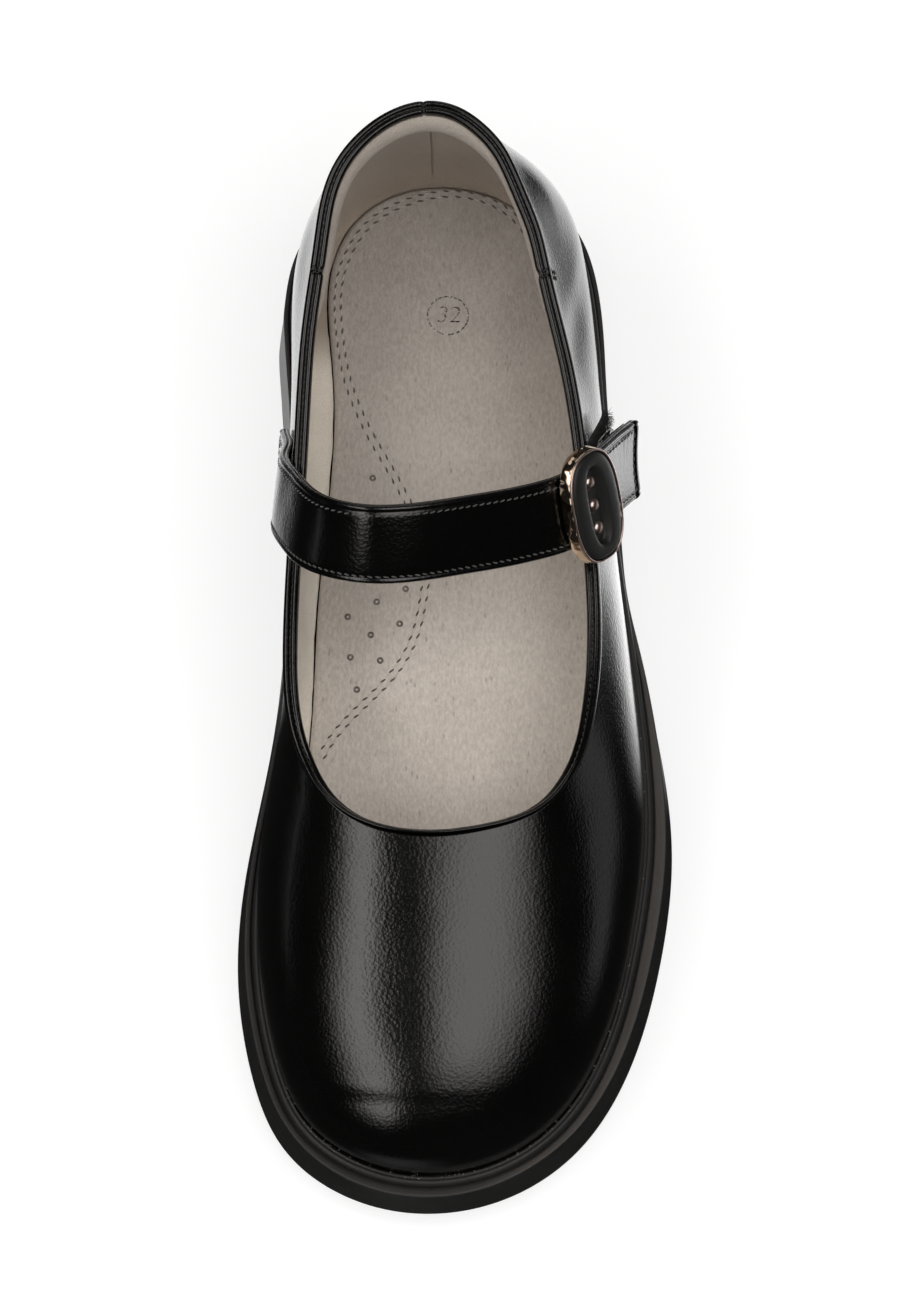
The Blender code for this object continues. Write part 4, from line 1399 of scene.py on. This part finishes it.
# %% Loops and lint
def fibres(name, material, count, seed, long, thick, foot=0.35, flat=0.6, ribs=0):
    """Short fibres standing on the loop tape, each two thin cones end to end, in mm. foot is
    how far up they start, flat how far they lie over, and ribs the rows they stand in."""
    random = np.random.default_rng(seed)
    mesh = bmesh.new()
    v = random.uniform(0.03, 0.97, count)
    u = random.uniform(0.03, 0.97, count)
    if ribs:
        u = (np.floor(random.uniform(0, ribs, count)) + 0.5) / ribs
    spots = on_loop(v, u, foot)
    offs = unit(on_loop(v, u, foot + 1) - spots)
    along = unit(on_loop(v + 0.01, u, foot) - on_loop(v - 0.01, u, foot))
    part = bmesh.new()
    for spot, off, way in zip(spots, offs, along):
        if len(part.verts) > PART_VERTS:
            add_part(mesh, part)
            part = bmesh.new()
        lean = unit(random.normal(size=3)) * 0.55
        sideways = way * flat * random.choice((-1, 1)) * (ribs > 0)
        way = unit(off * (1 - flat) + sideways + lean)
        size = long * random.uniform(0.6, 1.3)
        turn = Vector(way).to_track_quat("Z", "Y").to_matrix()
        for end in (0.25, 0.75):
            place = Matrix.Translation(Vector(spot + way * size * end * MM)) @ turn.to_4x4()
            wide = thick * MM / 2
            ends = (wide, wide * 0.8) if end < 0.5 else (wide * 0.8, wide * 0.2)
            bmesh.ops.create_cone(
                part, cap_ends=True, segments=3, radius1=ends[0], radius2=ends[1],
                depth=size * 0.5 * MM, matrix=place,
            )  # fmt: skip
    add_part(mesh, part)
    make_piece(name, mesh, material, "closure_fabric", weld=0)


fibres("loop_fuzz", fuzz_fibre, count=3200, seed=11, long=1.6, thick=0.16)
fibres(
    "loop_lint", lint_fibre, count=110, seed=12, long=1.5, thick=0.2, foot=1.3, flat=0.75, ribs=9
)

# %% [markdown]
# ## Buckle
# A rose-gold frame with a plump black face set in it, glued on the strap as an ornament. The
# frame is a polished band that stands on its edge, so only a thin rim of it shows round the
# face. A long hollow in the face holds a row of plain metal domes. Frame and face are swept
# round a squared oval, whose place and size come from the frame's solid.


# %% Place of the buckle
def corners(node):
    """The corners of a solid."""
    mesh = bpy.data.objects[node].data
    points = np.empty(len(mesh.vertices) * 3)
    mesh.vertices.foreach_get("co", points)
    return points.reshape(-1, 3)


frame_points = corners("buckle_frame")
frame_middle = frame_points.mean(axis=0)
buckle_y, _, buckle_z = np.linalg.svd(frame_points - frame_middle, full_matrices=False)[2]
buckle_y = buckle_y * np.sign(buckle_y[1])
buckle_z = buckle_z * np.sign(np.dot(buckle_z, frame_middle - np.array(heart)))
buckle_x = np.cross(buckle_y, buckle_z)
buckle_turn = np.column_stack([buckle_x, buckle_y, buckle_z])
turned = (frame_points - frame_middle) @ buckle_turn
low, high = turned.min(axis=0), turned.max(axis=0)
BUCKLE_WIDE, BUCKLE_LONG, BUCKLE_TALL = (high - low) / MM
foot = np.array([(low[0] + high[0]) / 2, (low[1] + high[1]) / 2, low[2]])
buckle_heart = frame_middle + buckle_turn @ foot
print("buckle, mm:", np.round((BUCKLE_LONG, BUCKLE_WIDE, BUCKLE_TALL), 1))
SQUARE = 2.6  # 2 is an ellipse, more is squarer


def oval(long, wide, height, count=144):
    """A squared oval at a height over the foot of the buckle, all in mm."""
    angle = np.linspace(0, 2 * math.pi, count, endpoint=False) + math.pi / 2
    power = 2 / SQUARE
    x = np.sign(np.cos(angle)) * np.abs(np.cos(angle)) ** power * wide / 2
    y = np.sign(np.sin(angle)) * np.abs(np.sin(angle)) ** power * long / 2
    place = buckle_x * x[:, None] + buckle_y * y[:, None] + buckle_z * float(height)
    return buckle_heart + place * MM


def inset_oval(long, wide, inset, height):
    """The same, drawn in by `inset` mm all the way round."""
    return oval(long - 2 * inset, wide - 2 * inset, height)


# %% Metals and face
def rose_gold(name, light, dark, rough, waves, depth):
    material, place, feed = finish(name, {"Metallic": 1.0})
    wave = place.noise(waves, 2.0, 0.55)
    wear = place.noise(900.0, 4.0, 0.65)
    feed(
        Base_Color=wear.band(0.35, 0.7).tint(light, dark),
        Roughness=wear * 0.1 + rough,
        relief=(wave, depth),
    )
    return material


def satin_black():
    material, place, feed = finish("satin_black", {"IOR": 1.45})
    fine = place.noise(1800.0, 3.0, 0.6)
    cloudy = place.noise(130.0, 2.0)
    feed(
        Base_Color=cloudy.tint((0.008, 0.008, 0.008), (0.013, 0.0125, 0.012)),
        Roughness=cloudy * 0.08 + fine * 0.06 + 0.36,
        relief=(fine, 0.00004),
    )
    return material


wavy_gold = rose_gold("rose_gold_wavy", (0.93, 0.76, 0.58), (0.80, 0.60, 0.44), 0.04, 130.0, 0.0026)
rim_gold = rose_gold("rose_gold_rim", (0.80, 0.64, 0.58), (0.70, 0.54, 0.48), 0.24, 500.0, 0.0001)
print("metals:", wavy_gold.name, rim_gold.name)

# %% Band and rim of the buckle
FRAME_SECTION = (
    # mm in from the outline, mm up from the foot
    (0.30, 0.0), (0.06, 0.08), (0.0, 0.30), (0.14, 1.3), (0.30, 2.40), (0.36, 2.54), (0.48, 2.60),
    (0.66, 2.58), (0.74, 1.20), (0.92, 0.90), (0.94, 0.0),
)  # fmt: skip
mesh = bmesh.new()
rows = [inset_oval(BUCKLE_LONG, BUCKLE_WIDE, *place) for place in FRAME_SECTION]
laid_grid(mesh, rows, True, True)
make_piece("buckle_band", mesh, wavy_gold, "rose_metal", "buckle_frame")

RIM_INSET, RIM_UP = 0.52, 2.76  # mm: its middle
RIM_HALF, RIM_TALL = 0.24, 0.22  # mm: half its width, half its height
rows = []
for angle in np.linspace(0, 2 * math.pi, 14, endpoint=False):
    inset, up = RIM_INSET - RIM_HALF * math.cos(angle), RIM_UP + RIM_TALL * math.sin(angle)
    rows.append(inset_oval(BUCKLE_LONG, BUCKLE_WIDE, inset, up))
mesh = bmesh.new()
laid_grid(mesh, rows, True, True)
make_piece("buckle_rim", mesh, rim_gold, "rose_metal")

# %% Face of the buckle
FACE_INSET = 0.82  # mm in from the outline of the frame
HOLLOW_LONG, HOLLOW_WIDE = 17.0, 5.6  # mm
FACE_SECTION = (
    # share of the way in from the frame to the hollow, mm up from the foot
    (0.0, 0.9), (0.0, 2.35), (0.02, 2.62), (0.07, 2.90), (0.15, 3.12), (0.27, 3.28), (0.42, 3.38),
    (0.60, 3.42), (0.78, 3.42), (0.90, 3.38), (1.0, 3.24),
)  # fmt: skip
HOLLOW_SECTION = (
    # mm in from the edge of the hollow, mm up from the foot
    (0.22, 2.98), (0.42, 2.62), (0.60, 2.24), (0.86, 1.98), (1.2, 1.92),
)  # fmt: skip
start_long, start_wide = BUCKLE_LONG - 2 * FACE_INSET, BUCKLE_WIDE - 2 * FACE_INSET
rows = []
for share, up in FACE_SECTION:
    long = start_long + (HOLLOW_LONG - start_long) * share
    wide = start_wide + (HOLLOW_WIDE - start_wide) * share
    rows.append(oval(long, wide, up))
rows += [inset_oval(HOLLOW_LONG, HOLLOW_WIDE, *place) for place in HOLLOW_SECTION]
mesh = bmesh.new()
laid_grid(mesh, rows, False, True)
laid_grid(mesh, lid(rows[-1], 9))
laid_grid(mesh, lid(rows[0], 9))
make_piece("buckle_pillow", mesh, satin_black(), "black_plastic", "buckle_face")

# %% Domes
DOME = (
    # share of its half width, mm up from its edge
    (1.0, -0.12), (1.0, 0.06), (0.97, 0.28), (0.87, 0.52), (0.68, 0.72), (0.42, 0.86),
    (0.16, 0.92), (0.0, 0.93),
)  # fmt: skip
DOME_WIDE, DOME_EDGE = 3.0, -0.78  # mm: its width, and its edge above its solid's middle
angles = np.linspace(0, 2 * math.pi, 32, endpoint=False)
for number in (1, 2, 3):
    stud = corners(f"stud_{number}")
    middle = (stud.min(axis=0) + stud.max(axis=0)) / 2
    rows = []
    for reach, up in DOME:
        circle = np.outer(np.cos(angles), buckle_x) + np.outer(np.sin(angles), buckle_y)
        rows.append(middle + (circle * reach * DOME_WIDE / 2 + buckle_z * (up + DOME_EDGE)) * MM)
    mesh = bmesh.new()
    laid_grid(mesh, rows, False, True)
    laid_grid(mesh, lid(rows[0], 9))
    make_piece(f"buckle_dome_{number}", mesh, rim_gold, "rose_metal", f"stud_{number}")

# %% [markdown]
# ## Sole
# A moulded cup sole: flared wall, flat ledge, groove, and a bead with a thin rib that hides
# the joint with the leather. The rows of its solid are followed all the way round, with more
# rows between them for the rounded shapes. Underneath, the heel and the ball of the foot have
# wavy cross grooves inside a plain border; the waist between them is smooth. The ledge is
# painted paler than the rest of the rubber, as a painted highlight, a little all round and
# most at the outer side of the toe. A number on each of its points says by how much, because
# a pattern alone can't follow a ledge this narrow.

# %% Rubber
rubber, place, feed = finish("black_rubber", {"Specular IOR Level": 0.5})
matt = place.noise(2400.0, 3.0, 0.7)
ledge_highlight = place.node("ShaderNodeAttribute", {"attribute_name": "ledge_highlight"}, {}, 2)
wide_tone = place.noise(45.0, 3.0)
scuffs = place.stretched(1.0, 0.3, 1.0).noise(700.0, 3.0, 0.6).band(0.60, 0.72)
# The ledge's paler colour is a painted highlight, as strong as its attribute says.
feed(
    Base_Color=ledge_highlight.tint(
        (wide_tone + scuffs * 0.5).tint((0.011, 0.0107, 0.0104), (0.021, 0.0204, 0.0198)),
        (wide_tone + matt * 0.3).tint((0.038, 0.033, 0.030), (0.060, 0.053, 0.048)),
    ),
    Roughness=wide_tone * 0.12 + matt * 0.1 + 0.36,
    relief=(matt + scuffs * 0.3, 0.00008),
)

# %% Wall, ledge and bead of the sole
sole = Surface(side_rows("sole"), True)
print("sole grid:", sole.rows.shape)
SOLE_SECTION = (
    # from this row towards the next, share of the way, mm outwards, mm up
    (0, 0.0, 0.0, 0.0), (0, 0.5, 0.12, -0.08), (1, 0.0, 0.06, -0.06), (1, 0.5, 0.1, -0.1),
    (2, 0.0, 0.0, 0.0), (2, 0.06, 0.0, 0.0), (2, 0.25, -0.1, 0.0), (2, 0.5, -0.18, 0.0),
    (2, 0.75, -0.1, 0.0), (2, 0.93, 0.0, 0.0), (3, 0.0, 0.0, 0.0), (3, 0.35, 0.08, 0.1),
    (3, 0.7, 0.08, 0.1), (4, 0.0, 0.0, 0.0), (4, 0.5, 0.0, 0.0), (5, 0.0, 0.0, 0.0),
    (5, 0.35, 0.0, 0.20), (5, 0.7, 0.0, 0.38), (5, 0.95, 0.0, 0.45), (6, 0.15, 0.0, -0.15),
    (6, 0.6, 0.0, -0.42), (6, 0.95, 0.0, -0.2), (7, 0.1, 0.08, 0.0), (7, 0.35, 0.12, 0.0),
    (7, 0.7, 0.12, 0.05), (8, 0.0, 0.08, 0.08), (8, 0.5, 0.04, 0.1), (9, 0.0, 0.0, 0.03),
    (9, 0.3, 0.0, 0.0), (9, 0.5, 0.0, -0.2), (9, 0.66, 0.0, 0.05), (10, 0.0, 0.0, 0.1),
    (10, 0.3, 0.0, 0.0), (11, 0.0, 0.0, 0.0),
)  # fmt: skip
TUCKS = (
    # mm along, how wide, mm in: the wall and the ledge are drawn in on the outer side
    (17, 12, 0.9), (57, 18, 0.4),
)  # fmt: skip
sole_u = np.arange(0, AROUND, 0.125)
solid_rows = sole.grid(np.arange(len(sole.rows)), sole_u)
outwards = solid_rows[2] - solid_rows[-1]
outwards[:, 2] = 0
outwards = unit(outwards)
rows = []
for row, share, out, up in SOLE_SECTION:
    after = min(row + 1, len(solid_rows) - 1)
    level_row = solid_rows[row] * (1 - share) + solid_rows[after] * share
    rows.append(level_row + outwards * out * MM + np.array([0, 0, up * MM]))
rows = np.array(rows)
rows[..., 2] = np.maximum(rows[..., 2], 0)
tuck = sum(deep * hump(rows[..., 1] / MM, middle, wide) for middle, wide, deep in TUCKS)
ledge_end = [place[0] for place in SOLE_SECTION].index(6)
rows[:ledge_end, :, 0] -= (tuck * (rows[..., 0] > 0))[:ledge_end] * MM

# %% Tread
GROOVE_PITCH, GROOVE_HALF, GROOVE_DEEP, BORDER = 7.5, 1.1, 1.1, 6.5  # mm
GUTTER_IN, GUTTER_DEEP = 2.2, 0.6  # mm inside the border's edge, and share of a groove
WAVE_LONG, WAVE_TALL = 24.0, 2.6  # mm: the waves across the sole
WAIST = (2.0, 44.0)  # mm: the smooth part
tread = lid(rows[0], 150)
flat = tread.reshape(-1, 3)
x, y = flat[:, 0] / MM, flat[:, 1] / MM
phase = (y + WAVE_TALL * np.sin(2 * math.pi * x / WAVE_LONG)) / GROOVE_PITCH
off_line = np.abs(phase - np.round(phase)) * GROOVE_PITCH
edge_gap = gap_to(rows[0][::8], flat)
waist = ease((y - WAIST[0] + 2) / 2) * ease((WAIST[1] + 2 - y) / 2)
groove = ease((GROOVE_HALF + 0.5 - off_line) / 0.9) * ease((edge_gap - BORDER) / 0.9) * (1 - waist)
gutter = ease((0.9 - np.abs(edge_gap - BORDER + GUTTER_IN)) / 0.7) * GUTTER_DEEP
flat[:, 2] += np.maximum(groove, gutter) * GROOVE_DEEP * MM

# %% Sole in one piece, with the painted highlight of its ledge marked
LEDGE_ROWS = (4, 6)  # the rows of the section that lie on the ledge
mesh = bmesh.new()
ledge_highlight_layer = mesh.verts.layers.float.new("ledge_highlight")
for number, vert in enumerate(laid_grid(mesh, rows, False, True)):
    row, share = SOLE_SECTION[number // (len(sole_u) + 1)][:2]
    # The painted highlight: a little on all the ledge, most at the outer side of the toe.
    painted_highlight = 0.15 + 0.85 * ease((vert.co.x / MM + 2) / 25) * (1 - ease((vert.co.y / MM + 20) / 50))
    vert[ledge_highlight_layer] = painted_highlight * (LEDGE_ROWS[0] <= row + share < LEDGE_ROWS[1])
laid_grid(mesh, tread)
laid_grid(mesh, lid(rows[-1], 3))
make_piece("sole_moulding", mesh, rubber, "sole_rubber", "sole")

# %% [markdown]
# A few pale crumbs of dust and dried glue are caught where the leather meets the bead, most
# of them round the toe. Each is a small flattened ball of its own, because a pattern in the
# rubber would look painted on.

# %% Crumbs in the joint
CRUMBS, JOINT_ROW = 420, 9.86  # tries, and where the joint lies in the rows of the sole
TOE_END = -60  # mm along: behind it, only one try in five leaves a crumb
crumb, place, feed = finish("pale_crumb", {"Roughness": 0.8})
feed(Base_Color=place.noise(3000.0).tint((0.08, 0.076, 0.07), (0.36, 0.35, 0.33)))
random = np.random.default_rng(5)
joint = sole.grid([JOINT_ROW], sole_u)[0]
mesh = bmesh.new()
for spot in random.integers(0, len(sole_u), CRUMBS):
    if joint[spot, 1] > TOE_END * MM and random.random() > 0.2:
        continue
    place_at = joint[spot] + random.normal(size=3) * (0.25, 0.25, 0.05) * MM
    turn = Matrix.Rotation(random.uniform(0, math.pi), 4, "Z") @ Matrix.Diagonal((2.2, 1, 0.8, 1))
    bmesh.ops.create_icosphere(
        mesh, subdivisions=1, radius=random.uniform(0.04, 0.11) * MM,
        matrix=Matrix.Translation(Vector(place_at)) @ turn,
    )  # fmt: skip
make_piece("joint_crumbs", mesh, crumb, "sole_rubber", weld=0)

# %% [markdown]
# ## Finish
# The size of the box round all the pieces is printed, in mm.

# %% Size
low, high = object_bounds()
print("visual model, mm:", [round(side / MM, 1) for side in high - low])
